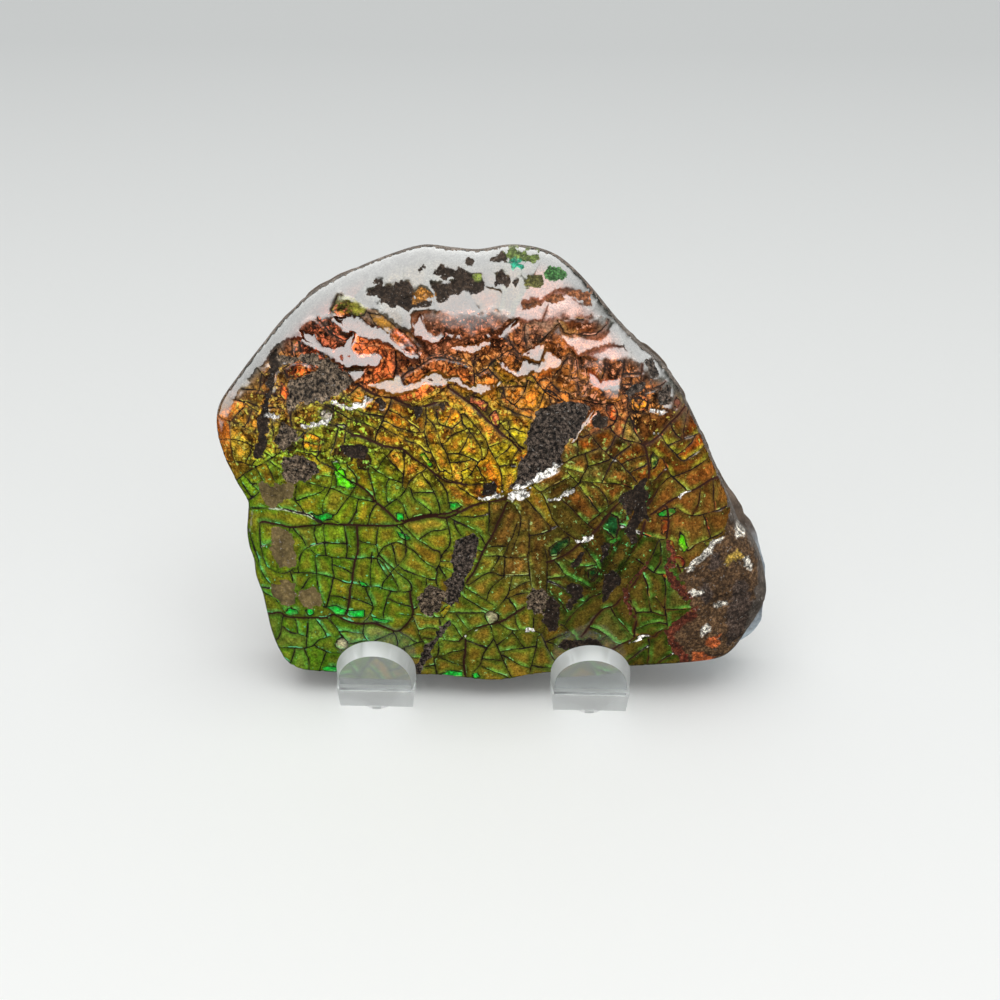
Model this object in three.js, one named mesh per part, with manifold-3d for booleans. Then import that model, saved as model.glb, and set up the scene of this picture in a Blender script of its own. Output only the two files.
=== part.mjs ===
// A polished ammolite hand specimen leaning on a small clear moulded easel.
// Millimetres, +Z up, +Y away from the viewer. The origin is on the ground, under the
// middle of the whole part's box. Two solids: the fossil slab and the one-piece stand.

import * as THREE from 'three';
import Module from 'manifold-3d';
import { mergeVertices } from 'three/addons/utils/BufferGeometryUtils.js';

const wasm = await Module();
wasm.setup();

// Driving dimensions, stand.
const lean = THREE.MathUtils.degToRad(16);
const seatGap = 0.3;
const prongSpacing = 27;
const tabBackWidth = 10;
const tabFrontWidth = 9.1;
const tabThickness = 2.2;
const tabStraight = 1.7;
const tabBase = 3.4;
const ledgeTop = 2.8;
const ledgeUnderside = 0.5;
const ledgeTopWidth = 9.9;
const ledgeBottomWidth = 8.8;
const ledgeFrontRecess = 0.35;
const nubDiameter = 3.2;
const nubSetback = 1.75;
const sheet = 2.6;
const standHeight = 39;
const standBaseWidth = 37;
const standTopWidth = 25;
const standCornerRadius = 4;
const legFootDepth = 46;
const bendInnerRadius = 1.6;
const notchHalfWidth = 8.5;
const notchHeight = 6;
const notchCornerRadius = 2.5;
const archSegments = 14;
const bendSegments = 10;

// Driving dimensions, slab. Slab coordinates are u to the right, v up the lean and
// w out of the back plane towards the viewer.
const slabFoot = new THREE.Vector3(0, 12.15, 3.85);
const slabMiddle = new THREE.Vector2(1, 24);
const slabThickness = 11.2;
const domeDrop = { top: 8.4, side: 4.2, bottom: 2.3 };
const domePower = 2.5;
const edgeWidth = { top: 2, side: 1.6, bottom: 0.6 };
const edgeDrop = { top: 1.5, side: 1.6, bottom: 0.5 };
const brokenEdge = { angle: -0.42, spread: 0.42, width: 3.2, drop: 3.4 };
const backBevel = 0.9;
const undersideSag = 0.7;
const gridAcross = 46;
const gridUp = 38;
const wallRows = 3;

// The rim of the slab, walked clockwise from its left end.
const rimOutline = [
  [-33, 31], [-32, 32.6], [-30, 35.4], [-27.2, 39], [-24.2, 42.5], [-20.6, 45.8],
  [-16, 48.3], [-11.4, 50.2], [-7.5, 51.3], [-4, 51], [-1, 50.8], [2.5, 51.4],
  [5.5, 51.2], [8, 50.4], [10, 49], [12.4, 46.6], [15.4, 43.1], [18.2, 40.2],
  [20.8, 38.1], [22.6, 36], [24.5, 32.8], [26.3, 29.2], [28.4, 24.6], [30.6, 19.7],
  [31.6, 17.4], [33, 15.9], [34.3, 13.4], [35.3, 10], [35.6, 7.4], [34.8, 5.2],
  [33.5, 2.9], [32.3, 0.9], [30.6, -0.6], [27.5, -1.2], [22.3, -1.5], [16, -1.8],
  [9.5, -2.4], [6, -2.8], [3.5, -3.4], [0.8, -3.7], [-2.5, -3.4], [-5.6, -3.1],
  [-9, -3.2], [-14, -3.2], [-19, -3.2], [-23, -3], [-25, -2.1], [-26.2, -0.2],
  [-27, 2.2], [-27.5, 4.8], [-28, 7.6], [-28.7, 9.8], [-28.9, 12], [-29.4, 13.7],
  [-29.6, 15.8], [-29.4, 18], [-29.4, 19.9], [-30.3, 22.6], [-31.7, 26], [-32.7, 29],
];

// Ledges in the shell. Each crest stands proud and drops away on its upper side.
const ledges = [
  {
    height: 0.55, flank: 1.7, reach: 5,
    crest: [[-20.5, 44], [-16.5, 42.5], [-12, 40.5], [-8.5, 39.5], [-6, 37.5]],
  },
  {
    height: 0.5, flank: 1.6, reach: 4.5,
    crest: [[-22, 41.5], [-19, 40], [-17, 38], [-14.5, 36], [-11.5, 35.5]],
  },
  {
    height: 0.6, flank: 1.6, reach: 4.5,
    crest: [[-11.5, 35.5], [-8.5, 36], [-7, 37.5], [-4.5, 37.5], [-1.5, 36], [2, 37.5]],
  },
  {
    height: 0.5, flank: 1.8, reach: 5,
    crest: [[-17.5, 47], [-13, 45], [-7, 41.5], [-3.5, 40.5], [0, 40.5], [2.5, 42], [4, 44]],
  },
  {
    height: 0.6, flank: 1.8, reach: 5,
    crest: [
      [1.5, 40.5], [3, 38.5], [4.5, 38], [7.5, 38.5], [11, 40], [13.5, 39.5], [16.5, 39.5], [19.5, 37.5],
    ],
  },
  {
    height: 0.45, flank: 1, reach: 3.5,
    crest: [
      [-30, 19.5], [-22, 20], [-16, 19.5], [-10, 19.5], [-6.5, 20.5], [-1.5, 22.5], [3, 23.5], [9, 26],
    ],
  },
  {
    height: 0.45, flank: 1, reach: 3.5,
    crest: [[-28, 5], [-19, 6], [-11, 5]],
  },
  {
    height: 0.4, flank: 1.2, reach: 4,
    crest: [[-26.5, 34], [-22, 36.5], [-15.5, 34.5], [-10.5, 35]],
  },
  {
    height: 0.5, flank: 1, reach: 4,
    crest: [[4.5, 24.5], [9, 27], [12.5, 34.5]],
  },
  {
    height: 0.6, flank: 1.4, reach: 5,
    crest: [[19, 10], [25, 15], [30.5, 16.5]],
  },
];

function smooth(low, high, value) {
  return THREE.MathUtils.smoothstep(value, low, high);
}

function mix(parts, weights) {
  return parts.top * weights.top + parts.side * weights.side + parts.bottom * weights.bottom;
}

// How much a direction from the slab's middle points at its top, sides or bottom.
function quarterWeights(angle) {
  const up = Math.sin(angle);
  const top = Math.max(up, 0) ** 1.2;
  const bottom = Math.max(-up, 0);
  return { top, bottom, side: 1 - top - bottom };
}

const rimSamples = new THREE.CatmullRomCurve3(
  rimOutline.map(([u, v]) => new THREE.Vector3(u, v, 0)), true, 'catmullrom', 0.5,
).getPoints(rimOutline.length * 8).slice(0, -1).map((p) => {
  const arm = new THREE.Vector2(p.x, p.y).sub(slabMiddle);
  return { angle: arm.angle(), reach: arm.length() };
}).sort((a, b) => a.angle - b.angle);

// Distance from the slab's middle to its rim in one direction.
function rimReach(angle) {
  const turn = THREE.MathUtils.euclideanModulo(angle, 2 * Math.PI);
  let next = rimSamples.findIndex((sample) => sample.angle > turn);
  if (next < 0) next = 0;
  const after = rimSamples[next];
  const before = rimSamples[(next + rimSamples.length - 1) % rimSamples.length];
  const span = THREE.MathUtils.euclideanModulo(after.angle - before.angle, 2 * Math.PI);
  const part = THREE.MathUtils.euclideanModulo(turn - before.angle, 2 * Math.PI) / span;
  return THREE.MathUtils.lerp(before.reach, after.reach, part);
}

function rimPoint(angle) {
  const reach = rimReach(angle);
  return new THREE.Vector2(
    slabMiddle.x + reach * Math.cos(angle),
    slabMiddle.y + reach * Math.sin(angle),
  );
}

// Signed distance to a crest: positive on its upper side. The second value is the plain distance.
function crestDistance(u, v, crest) {
  let best = { distance: Infinity, side: 1 };
  for (let i = 0; i + 1 < crest.length; i += 1) {
    const [u0, v0] = crest[i];
    const [u1, v1] = crest[i + 1];
    const length2 = (u1 - u0) ** 2 + (v1 - v0) ** 2;
    const along = THREE.MathUtils.clamp(((u - u0) * (u1 - u0) + (v - v0) * (v1 - v0)) / length2, 0, 1);
    const distance = Math.hypot(u - u0 - along * (u1 - u0), v - v0 - along * (v1 - v0));
    if (distance < best.distance) {
      const cross = (u1 - u0) * (v - v0) - (v1 - v0) * (u - u0);
      best = { distance, side: cross >= 0 ? 1 : -1 };
    }
  }
  return best;
}

function ledgeRelief(u, v) {
  let relief = 0;
  for (const { height, flank, reach, crest } of ledges) {
    const { distance, side } = crestDistance(u, v, crest);
    if (side > 0) {
      relief -= height * smooth(0, flank, distance) * (1 - smooth(flank, reach, distance));
    } else {
      relief += 0.35 * height * (1 - smooth(0, reach, distance));
    }
  }
  return relief;
}

// Height of the polished face above the back plane.
function faceHeight(u, v) {
  const angle = Math.atan2(v - slabMiddle.y, u - slabMiddle.x);
  const reach = rimReach(angle);
  const out = Math.min(Math.hypot(u - slabMiddle.x, v - slabMiddle.y) / reach, 1);
  const weights = quarterWeights(angle);
  const broken = Math.exp(-(((angle - brokenEdge.angle) / brokenEdge.spread) ** 2));
  const width = THREE.MathUtils.lerp(mix(edgeWidth, weights), brokenEdge.width, broken);
  const drop = THREE.MathUtils.lerp(mix(edgeDrop, weights), brokenEdge.drop, broken);
  const turnIn = Math.max(1 - (1 - out) * reach / width, 0);
  const rounding = drop * (1 - Math.sqrt(1 - turnIn ** 2));
  const inland = smooth(0, 3, (1 - out) * reach);
  return slabThickness - mix(domeDrop, weights) * out ** domePower - rounding + ledgeRelief(u, v) * inland;
}

// Shallow ledges of broken shale on the back, never proud of the back plane.
function backHeight(u, v) {
  const tilt = 0.35 + 0.25 * Math.sin(0.21 * u + 0.09 * v) * Math.cos(0.17 * v - 0.11 * u);
  const step = 0.35 * smooth(-0.5, 0.5, v - 30 - 0.35 * u) + 0.3 * smooth(-0.5, 0.5, 9 - v + 0.25 * u);
  return Math.max(tilt + step - 0.1, 0);
}

// The underside is level where the slab stands on the ledges and hangs lower between them.
function undersideLevel(u) {
  const between = 1 - smooth(3, 8, Math.abs(u));
  return ledgeTop + seatGap - undersideSag * between;
}

function slabToWorld(u, v, w) {
  return new THREE.Vector3(
    slabFoot.x + u,
    slabFoot.y + v * Math.sin(lean) - w * Math.cos(lean),
    slabFoot.z + v * Math.cos(lean) + w * Math.sin(lean),
  );
}

// A point of the side wall. Along is 0 at the polished face and 1 at the back bevel.
function wallPoint(angle, along) {
  const rim = rimPoint(angle);
  const step = 0.02;
  const tangent = rimPoint(angle + step).sub(rimPoint(angle - step)).normalize();
  const underside = smooth(0.55, 0.9, tangent.x) * (Math.sin(angle) < 0 ? 1 : 0);
  const rimHeight = faceHeight(rim.x, rim.y);
  const w = THREE.MathUtils.lerp(rimHeight, Math.min(backBevel, rimHeight * 0.6), along);
  const faceLevel = slabToWorld(rim.x, rim.y, rimHeight).z;
  const level = THREE.MathUtils.lerp(faceLevel, undersideLevel(rim.x), smooth(0, 0.7, along));
  const levelV = (level - slabFoot.z - w * Math.sin(lean)) / Math.cos(lean);
  return { u: rim.x, v: THREE.MathUtils.lerp(rim.y, levelV, underside), w };
}

function backRim(angle) {
  const wall = wallPoint(angle, 1);
  const arm = new THREE.Vector2(wall.u, wall.v).sub(slabMiddle);
  arm.setLength(arm.length() - backBevel);
  return arm.add(slabMiddle);
}

// A square grid eased onto a disc, so that its border becomes the slab's rim.
function gridToDisc(i, j) {
  const x = 2 * i / gridAcross - 1;
  const y = 2 * j / gridUp - 1;
  const dx = x * Math.sqrt(1 - y * y / 2);
  const dy = y * Math.sqrt(1 - x * x / 2);
  const spread = slabReachRatio();
  return { angle: Math.atan2(dy, dx * spread), out: Math.min(Math.hypot(dx, dy), 1) };
}

function slabReachRatio() {
  return rimReach(0) / rimReach(Math.PI / 2);
}

function gridBorder() {
  const border = [];
  for (let i = 0; i < gridAcross; i += 1) border.push([i, 0]);
  for (let j = 0; j < gridUp; j += 1) border.push([gridAcross, j]);
  for (let i = gridAcross; i > 0; i -= 1) border.push([i, gridUp]);
  for (let j = gridUp; j > 0; j -= 1) border.push([0, j]);
  return border;
}

function slabGeometry() {
  const points = [];
  const faces = [];
  const rowLength = gridAcross + 1;
  const backStart = rowLength * (gridUp + 1);

  function addGrid(place, flip) {
    const start = points.length;
    for (let j = 0; j <= gridUp; j += 1) {
      for (let i = 0; i <= gridAcross; i += 1) {
        points.push(place(gridToDisc(i, j)));
      }
    }
    for (let j = 0; j < gridUp; j += 1) {
      for (let i = 0; i < gridAcross; i += 1) {
        const a = start + j * rowLength + i;
        const b = a + 1;
        const c = a + rowLength + 1;
        const d = a + rowLength;
        const quad = flip ? [[a, d, c], [a, c, b]] : [[a, b, c], [a, c, d]];
        faces.push(...quad);
      }
    }
  }

  addGrid(({ angle, out }) => {
    const rim = rimPoint(angle).sub(slabMiddle).multiplyScalar(out).add(slabMiddle);
    return slabToWorld(rim.x, rim.y, faceHeight(rim.x, rim.y));
  }, false);
  addGrid(({ angle, out }) => {
    const rim = backRim(angle).sub(slabMiddle).multiplyScalar(out).add(slabMiddle);
    return slabToWorld(rim.x, rim.y, backHeight(rim.x, rim.y) * smooth(0, 0.12, 1 - out));
  }, true);

  const border = gridBorder();
  let ring = border.map(([i, j]) => j * rowLength + i);
  const backRing = ring.map((index) => index + backStart);
  for (let row = 1; row <= wallRows; row += 1) {
    const next = border.map(([i, j]) => {
      const { u, v, w } = wallPoint(gridToDisc(i, j).angle, row / wallRows);
      points.push(slabToWorld(u, v, w));
      return points.length - 1;
    });
    addBand(faces, ring, next);
    ring = next;
  }
  addBand(faces, ring, backRing);
  return indexedGeometry(points, faces);
}

// Joins two rings of points. The first ring runs anticlockwise seen from the face.
function addBand(faces, upper, lower) {
  for (let k = 0; k < upper.length; k += 1) {
    const next = (k + 1) % upper.length;
    faces.push([upper[k], lower[k], lower[next]], [upper[k], lower[next], upper[next]]);
  }
}

function indexedGeometry(points, faces) {
  const geometry = new THREE.BufferGeometry();
  geometry.setAttribute('position', new THREE.Float32BufferAttribute(points.flatMap((p) => p.toArray()), 3));
  geometry.setIndex(faces.flat());
  geometry.computeVertexNormals();
  return geometry;
}

function toSolid(geometry) {
  geometry.deleteAttribute('normal');
  geometry.deleteAttribute('uv');
  const merged = mergeVertices(geometry, 1e-4);
  return new wasm.Manifold(new wasm.Mesh({
    numProp: 3,
    vertProperties: merged.attributes.position.array,
    triVerts: new Uint32Array(merged.index.array),
  }));
}

function toGeometry(solid) {
  const mesh = solid.getMesh();
  const geometry = new THREE.BufferGeometry();
  geometry.setAttribute('position', new THREE.BufferAttribute(mesh.vertProperties, 3));
  geometry.setIndex(new THREE.BufferAttribute(mesh.triVerts, 1));
  geometry.computeVertexNormals();
  return geometry;
}

// A shape drawn in X and Z, pushed back along Y from one depth to another.
function alongDepth(shape, from, to) {
  const geometry = new THREE.ExtrudeGeometry(shape, {
    depth: to - from, bevelEnabled: false, curveSegments: archSegments,
  });
  geometry.rotateX(Math.PI / 2);
  geometry.translate(0, to, 0);
  return geometry;
}

// A shape drawn in Y and Z, pushed along X either side of the middle.
function acrossWidth(shape, width) {
  const geometry = new THREE.ExtrudeGeometry(shape, {
    depth: width, bevelEnabled: false, curveSegments: bendSegments,
  });
  geometry.rotateX(Math.PI / 2);
  geometry.rotateZ(Math.PI / 2);
  geometry.translate(-width / 2, 0, 0);
  return geometry;
}

function polygon(corners) {
  return new THREE.Shape(corners.map(([x, y]) => new THREE.Vector2(x, y)));
}

// The ledge section is narrower underneath.
function ledgeSection(top) {
  return polygon([
    [-ledgeBottomWidth / 2, ledgeUnderside],
    [ledgeBottomWidth / 2, ledgeUnderside],
    [ledgeTopWidth / 2, top],
    [-ledgeTopWidth / 2, top],
  ]);
}

// The tab is a half-round arch, a little smaller at its front than at its back.
function tabSolid() {
  const radius = tabBackWidth / 2;
  const springing = tabBase + tabStraight;
  const arch = new THREE.Shape();
  arch.moveTo(-radius, tabBase);
  arch.lineTo(radius, tabBase);
  arch.lineTo(radius, springing);
  arch.absarc(0, springing, radius, 0, Math.PI, false);
  arch.lineTo(-radius, tabBase);
  const geometry = alongDepth(arch, 0, tabThickness);
  const taper = tabFrontWidth / tabBackWidth;
  const position = geometry.attributes.position;
  for (let i = 0; i < position.count; i += 1) {
    if (position.getY(i) > tabThickness / 2) continue;
    position.setX(i, position.getX(i) * taper);
    if (position.getZ(i) > springing) position.setZ(i, springing + (position.getZ(i) - springing) * taper);
  }
  return toSolid(geometry);
}

function nubSolid() {
  const geometry = new THREE.CylinderGeometry(nubDiameter / 2, nubDiameter / 2, ledgeTop - 1, 24);
  geometry.rotateX(Math.PI / 2);
  geometry.translate(0, nubSetback, (ledgeTop - 1) / 2);
  return toSolid(geometry);
}

// The front plane of the back panel, a seat gap behind the slab's back plane.
function panelFront(height) {
  return slabFoot.y + seatGap / Math.cos(lean) + (height - slabFoot.z) * Math.tan(lean);
}

// Side view of the sheet: panel up, round the bend, leg down to the ground.
function sheetSection() {
  const outerRadius = bendInnerRadius + sheet;
  const bendHeight = standHeight - outerRadius;
  const bendDepth = panelFront(bendHeight) + outerRadius / Math.cos(lean);
  const legRun = legFootDepth - sheet - bendDepth;
  const legLean = Math.atan2(legRun, bendHeight);
  const section = new THREE.Shape();
  const footSpan = sheet / Math.cos(legLean);
  const legInner = bendDepth + bendInnerRadius / Math.cos(legLean) + bendHeight * Math.tan(legLean);
  section.moveTo(panelFront(ledgeUnderside), ledgeUnderside);
  section.lineTo(bendDepth - outerRadius * Math.cos(lean), bendHeight + outerRadius * Math.sin(lean));
  section.absarc(bendDepth, bendHeight, outerRadius, Math.PI - lean, legLean, true);
  section.lineTo(legInner + footSpan, 0);
  section.lineTo(legInner, 0);
  section.absarc(bendDepth, bendHeight, bendInnerRadius, legLean, Math.PI - lean, false);
  section.lineTo(panelFront(ledgeUnderside) + sheet / Math.cos(lean), ledgeUnderside);
  return section;
}

// Front view of the sheet: wide at the ground, narrower and round-cornered at the top.
function sheetOutline() {
  const base = standBaseWidth / 2;
  const top = standTopWidth / 2;
  const radius = standCornerRadius;
  const outline = new THREE.Shape();
  outline.moveTo(-base, -1);
  outline.lineTo(base, -1);
  outline.lineTo(base, 3);
  outline.lineTo(top, standHeight - radius);
  outline.quadraticCurveTo(top, standHeight + 0.1, top - radius, standHeight + 0.1);
  outline.lineTo(-top + radius, standHeight + 0.1);
  outline.quadraticCurveTo(-top, standHeight + 0.1, -top, standHeight - radius);
  outline.lineTo(-base, 3);
  return outline;
}

function notchOutline() {
  const half = notchHalfWidth;
  const radius = notchCornerRadius;
  const outline = new THREE.Shape();
  outline.moveTo(-half, -2);
  outline.lineTo(half, -2);
  outline.lineTo(half, notchHeight - radius);
  outline.absarc(half - radius, notchHeight - radius, radius, 0, Math.PI / 2, false);
  outline.absarc(-half + radius, notchHeight - radius, radius, Math.PI / 2, Math.PI, false);
  return outline;
}

function standGeometry() {
  const sheetSolid = toSolid(acrossWidth(sheetSection(), standBaseWidth));
  const frontView = toSolid(alongDepth(sheetOutline(), 0, legFootDepth + 10));
  const notch = toSolid(alongDepth(notchOutline(), -1, legFootDepth + 11));
  let stand = sheetSolid.intersect(frontView).subtract(notch);
  const ledgeBack = panelFront(ledgeTop) + sheet / 2;
  for (const side of [-1, 1]) {
    const pieces = [
      toSolid(alongDepth(ledgeSection(ledgeTop), tabThickness / 2, ledgeBack)),
      toSolid(alongDepth(ledgeSection(tabBase + 0.1), ledgeFrontRecess, tabThickness)),
      tabSolid(),
      nubSolid(),
    ];
    for (const piece of pieces) {
      stand = stand.add(piece.translate([side * prongSpacing / 2, 0, 0]));
    }
  }
  return toGeometry(stand);
}

const ammoliteMaterial = new THREE.MeshStandardMaterial({ color: 0x6d5a2c, roughness: 0.25, metalness: 0.1 });
const clearMaterial = new THREE.MeshStandardMaterial({
  color: 0xe9edee, roughness: 0.08, metalness: 0, transparent: true, opacity: 0.35,
});

const ammolite = new THREE.Mesh(slabGeometry(), ammoliteMaterial);
ammolite.name = 'ammolite';

const displayStand = new THREE.Mesh(standGeometry(), clearMaterial);
displayStand.name = 'display_stand';

const specimen = new THREE.Group();
specimen.add(ammolite, displayStand);

// The origin goes to the ground under the middle of the part's box.
const box = new THREE.Box3().setFromObject(specimen);
const middle = box.getCenter(new THREE.Vector3());
specimen.position.set(-middle.x, -middle.y, -box.min.z);

export default specimen;
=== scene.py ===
import math

import bpy
import numpy as np
from mathutils import Matrix, Vector, kdtree
from mathutils.geometry import delaunay_2d_cdt


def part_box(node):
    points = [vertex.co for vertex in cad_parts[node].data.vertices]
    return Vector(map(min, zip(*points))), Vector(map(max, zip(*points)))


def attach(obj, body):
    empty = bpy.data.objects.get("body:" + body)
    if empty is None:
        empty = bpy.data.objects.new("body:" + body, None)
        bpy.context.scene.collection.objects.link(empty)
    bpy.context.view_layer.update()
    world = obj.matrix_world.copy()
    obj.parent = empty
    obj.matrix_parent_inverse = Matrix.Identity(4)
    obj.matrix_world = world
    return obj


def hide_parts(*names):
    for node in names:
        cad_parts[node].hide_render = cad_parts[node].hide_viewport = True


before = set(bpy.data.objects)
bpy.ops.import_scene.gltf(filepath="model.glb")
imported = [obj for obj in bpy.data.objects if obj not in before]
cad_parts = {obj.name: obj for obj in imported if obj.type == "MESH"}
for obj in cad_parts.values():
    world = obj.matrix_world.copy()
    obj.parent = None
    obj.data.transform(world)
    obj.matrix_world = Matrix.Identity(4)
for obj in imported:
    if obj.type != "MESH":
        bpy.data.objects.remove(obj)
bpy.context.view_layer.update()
bpy.ops.object.select_all(action="DESELECT")
print("frame loaded")

mm = 0.001
standLow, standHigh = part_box("display_stand")
origin = Vector(((standLow.x + standHigh.x) / 2, standLow.y, standLow.z))  # middle of the tabs' front, on the floor
bpy.context.scene.view_settings.view_transform = "Standard"


def inFrame(points):
    return np.asarray(points, float) * mm + np.array(origin)


def smooth(low, high, value):
    t = np.clip((np.asarray(value, float) - low) / (high - low), 0, 1)
    return t * t * (3 - 2 * t)


def hexToLinear(code):
    channels = [int(code[i:i + 2], 16) / 255 for i in (1, 3, 5)]
    return tuple(c / 12.92 if c <= 0.04045 else ((c + 0.055) / 1.055) ** 2.4 for c in channels) + (1.0,)


def addNode(tree, kind, inputs, **settings):
    node = tree.nodes.new(kind)
    for name, value in settings.items():
        setattr(node, name, value)
    for key, value in inputs.items():
        if isinstance(value, bpy.types.NodeSocket):
            tree.links.new(value, node.inputs[key])
        else:
            node.inputs[key].default_value = value
    return node


# camera, placed so that the foot of the tabs falls where it should in a square frame
cameraSetup = {
    "elevation": 40.0,  # degrees
    "azimuth": 1.5,
    "distance": 209.3,  # mm to the aim point, along the view
    "lens": 60.0,
    "sensor": 36.0,
    "frameSize": 1000,
    "aimPoint": (0.0, 0.0, 3.4),
    "aimPlace": (482.7, 693.65),  # where the aim point falls in the frame
}


def cameraAxes(setup):
    rise, turn = math.radians(setup["elevation"]), math.radians(setup["azimuth"])
    back = np.array([math.sin(turn) * math.cos(rise), -math.cos(turn) * math.cos(rise), math.sin(rise)])
    right = np.cross(-back, [0, 0, 1])
    right /= np.linalg.norm(right)
    up = np.cross(back, right)
    half = setup["frameSize"] / 2
    focal = setup["lens"] / setup["sensor"] * setup["frameSize"]
    across = (setup["aimPlace"][0] - half) / focal * setup["distance"]
    above = (half - setup["aimPlace"][1]) / focal * setup["distance"]
    place = np.array(setup["aimPoint"]) + setup["distance"] * back - across * right - above * up
    return place, right, up, back, focal


cameraPlace, cameraRight, cameraUp, cameraBack, focal = cameraAxes(cameraSetup)
cameraData = bpy.data.cameras.new("camera")
cameraData.lens = cameraSetup["lens"]
cameraData.sensor_width = cameraSetup["sensor"]
cameraData.clip_start = 0.005
cameraObject = bpy.data.objects.new("camera", cameraData)
bpy.context.scene.collection.objects.link(cameraObject)
turnMatrix = Matrix([cameraRight, cameraUp, cameraBack]).transposed().to_4x4()
cameraObject.matrix_world = Matrix.Translation(Vector(inFrame(cameraPlace))) @ turnMatrix
bpy.context.scene.camera = cameraObject
print("camera placed")

# slab shape. u runs to the right, v up the lean, w out of the back plane
slab = {
    "lean": 16.0,
    "foot": (0.0, 12.15, 3.85),
    "middle": (1.0, 24.0),
    "thickness": 11.2,
    "domeDrop": (8.4, 4.2, 2.3),  # top, side, bottom
    "domePower": 2.5,
    "edgeWidth": (2.0, 1.6, 0.6),
    "edgeDrop": (1.5, 1.6, 0.5),
    "brokenAngle": -0.42,
    "brokenSpread": 0.42,
    "brokenWidth": 3.2,
    "brokenDrop": 3.4,
    "backBevel": 0.9,
    "rimInset": 0.12,  # keeps the fine rim within the plain solid
    "seatLevel": 3.1,
    "undersideSag": 0.7,
    "faceSpacing": 0.29,
    "ringSpacing": 0.36,
    "wallRows": 16,
    "backSpacing": 0.8,
}
rimOutline = [
    (-32.7, 30.6), (-32, 32.6), (-30, 35.4), (-27.2, 39), (-24.2, 42.5), (-20.6, 45.8), (-16, 48.3), (-11.4, 50.2),
    (-7.5, 51.3), (-4, 51), (-1, 50.8), (2.5, 51.4), (5.5, 51.2), (8, 50.4), (10, 49), (12.4, 46.6), (15.4, 43.1),
    (18.2, 40.2), (20.8, 38.1), (22.6, 36), (24.5, 32.8), (26.3, 29.2), (28.4, 24.6), (30.6, 19.7), (31.6, 17.4),
    (33, 15.9), (34.3, 13.4), (35.3, 10), (35.6, 7.4), (34.8, 5.2), (33.5, 2.9), (32.3, 0.9), (30.6, -0.6),
    (27.5, -1.2), (22.3, -1.5), (16, -1.8), (9.5, -2.4), (6, -2.8), (3.5, -3.4), (0.8, -3.7), (-2.5, -3.4),
    (-5.6, -3.1), (-9, -3.2), (-14, -3.2), (-19, -3.2), (-23, -3), (-25, -2.1), (-26.2, -0.2), (-27, 2.2),
    (-27.5, 4.8), (-28, 7.6), (-28.7, 9.8), (-28.9, 12), (-29.4, 13.7), (-29.6, 15.8), (-29.4, 18), (-29.4, 19.9),
    (-30.8, 22.6), (-32.1, 25.8), (-32.7, 28.3),
]
lean = math.radians(slab["lean"])
slabFoot = np.array(slab["foot"])
slabUp = np.array([0, math.sin(lean), math.cos(lean)])
slabOut = np.array([0, -math.cos(lean), math.sin(lean)])
middle = np.array(slab["middle"])


def curveThrough(points, steps, closed):
    points = np.array(points, float)
    count = len(points)
    runs = count if closed else count - 1
    spots = []
    for i in range(runs):
        picks = [(i + k) % count if closed else min(max(i + k, 0), count - 1) for k in (-1, 0, 1, 2)]
        a, b, c, d = points[picks]
        for t in np.arange(steps) / steps:
            spots.append(0.5 * (2 * b + (c - a) * t + (2 * a - 5 * b + 4 * c - d) * t ** 2
                                + (3 * b - a - 3 * c + d) * t ** 3))
    if not closed:
        spots.append(points[-1])
    return np.array(spots)


def evenly(points, spacing):
    gaps = np.hypot(*np.diff(points, axis=0).T)
    along = np.concatenate([[0], np.cumsum(gaps)])
    count = max(int(round(along[-1] / spacing)), 2)
    stops = np.linspace(0, along[-1], count + 1)
    return np.stack([np.interp(stops, along, points[:, k]) for k in (0, 1)], 1)


rimCurve = curveThrough(rimOutline, 8, True)
rimArms = (rimCurve - middle) * (1 - slab["rimInset"] / np.hypot(*(rimCurve - middle).T))[:, None]
rimCurve = middle + rimArms
rimOrder = np.argsort(np.arctan2(rimArms[:, 1], rimArms[:, 0]))
rimAngles = np.arctan2(rimArms[:, 1], rimArms[:, 0])[rimOrder]
rimReaches = np.hypot(rimArms[:, 0], rimArms[:, 1])[rimOrder]


def rimReach(angle):
    return np.interp(angle, rimAngles, rimReaches, period=2 * math.pi)


def weigh(parts, angle):
    up = np.sin(angle)
    top = np.maximum(up, 0) ** 1.2
    bottom = np.maximum(-up, 0)
    return parts[0] * top + parts[1] * (1 - top - bottom) + parts[2] * bottom


def faceHeight(spots):
    arm = spots - middle
    angle = np.arctan2(arm[:, 1], arm[:, 0])
    reach = rimReach(angle)
    out = np.minimum(np.hypot(arm[:, 0], arm[:, 1]) / reach, 1)
    broken = np.exp(-((angle - slab["brokenAngle"]) / slab["brokenSpread"]) ** 2)
    width = weigh(slab["edgeWidth"], angle) * (1 - broken) + slab["brokenWidth"] * broken
    drop = weigh(slab["edgeDrop"], angle) * (1 - broken) + slab["brokenDrop"] * broken
    turnIn = np.clip(1 - (1 - out) * reach / width, 0, 1)
    rounding = drop * (1 - np.sqrt(1 - turnIn ** 2))
    return slab["thickness"] - weigh(slab["domeDrop"], angle) * out ** slab["domePower"] - rounding


def slabPoint(spots, height):
    return slabFoot + np.outer(spots[:, 0], [1, 0, 0]) + np.outer(spots[:, 1], slabUp) + np.outer(height, slabOut)


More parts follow.
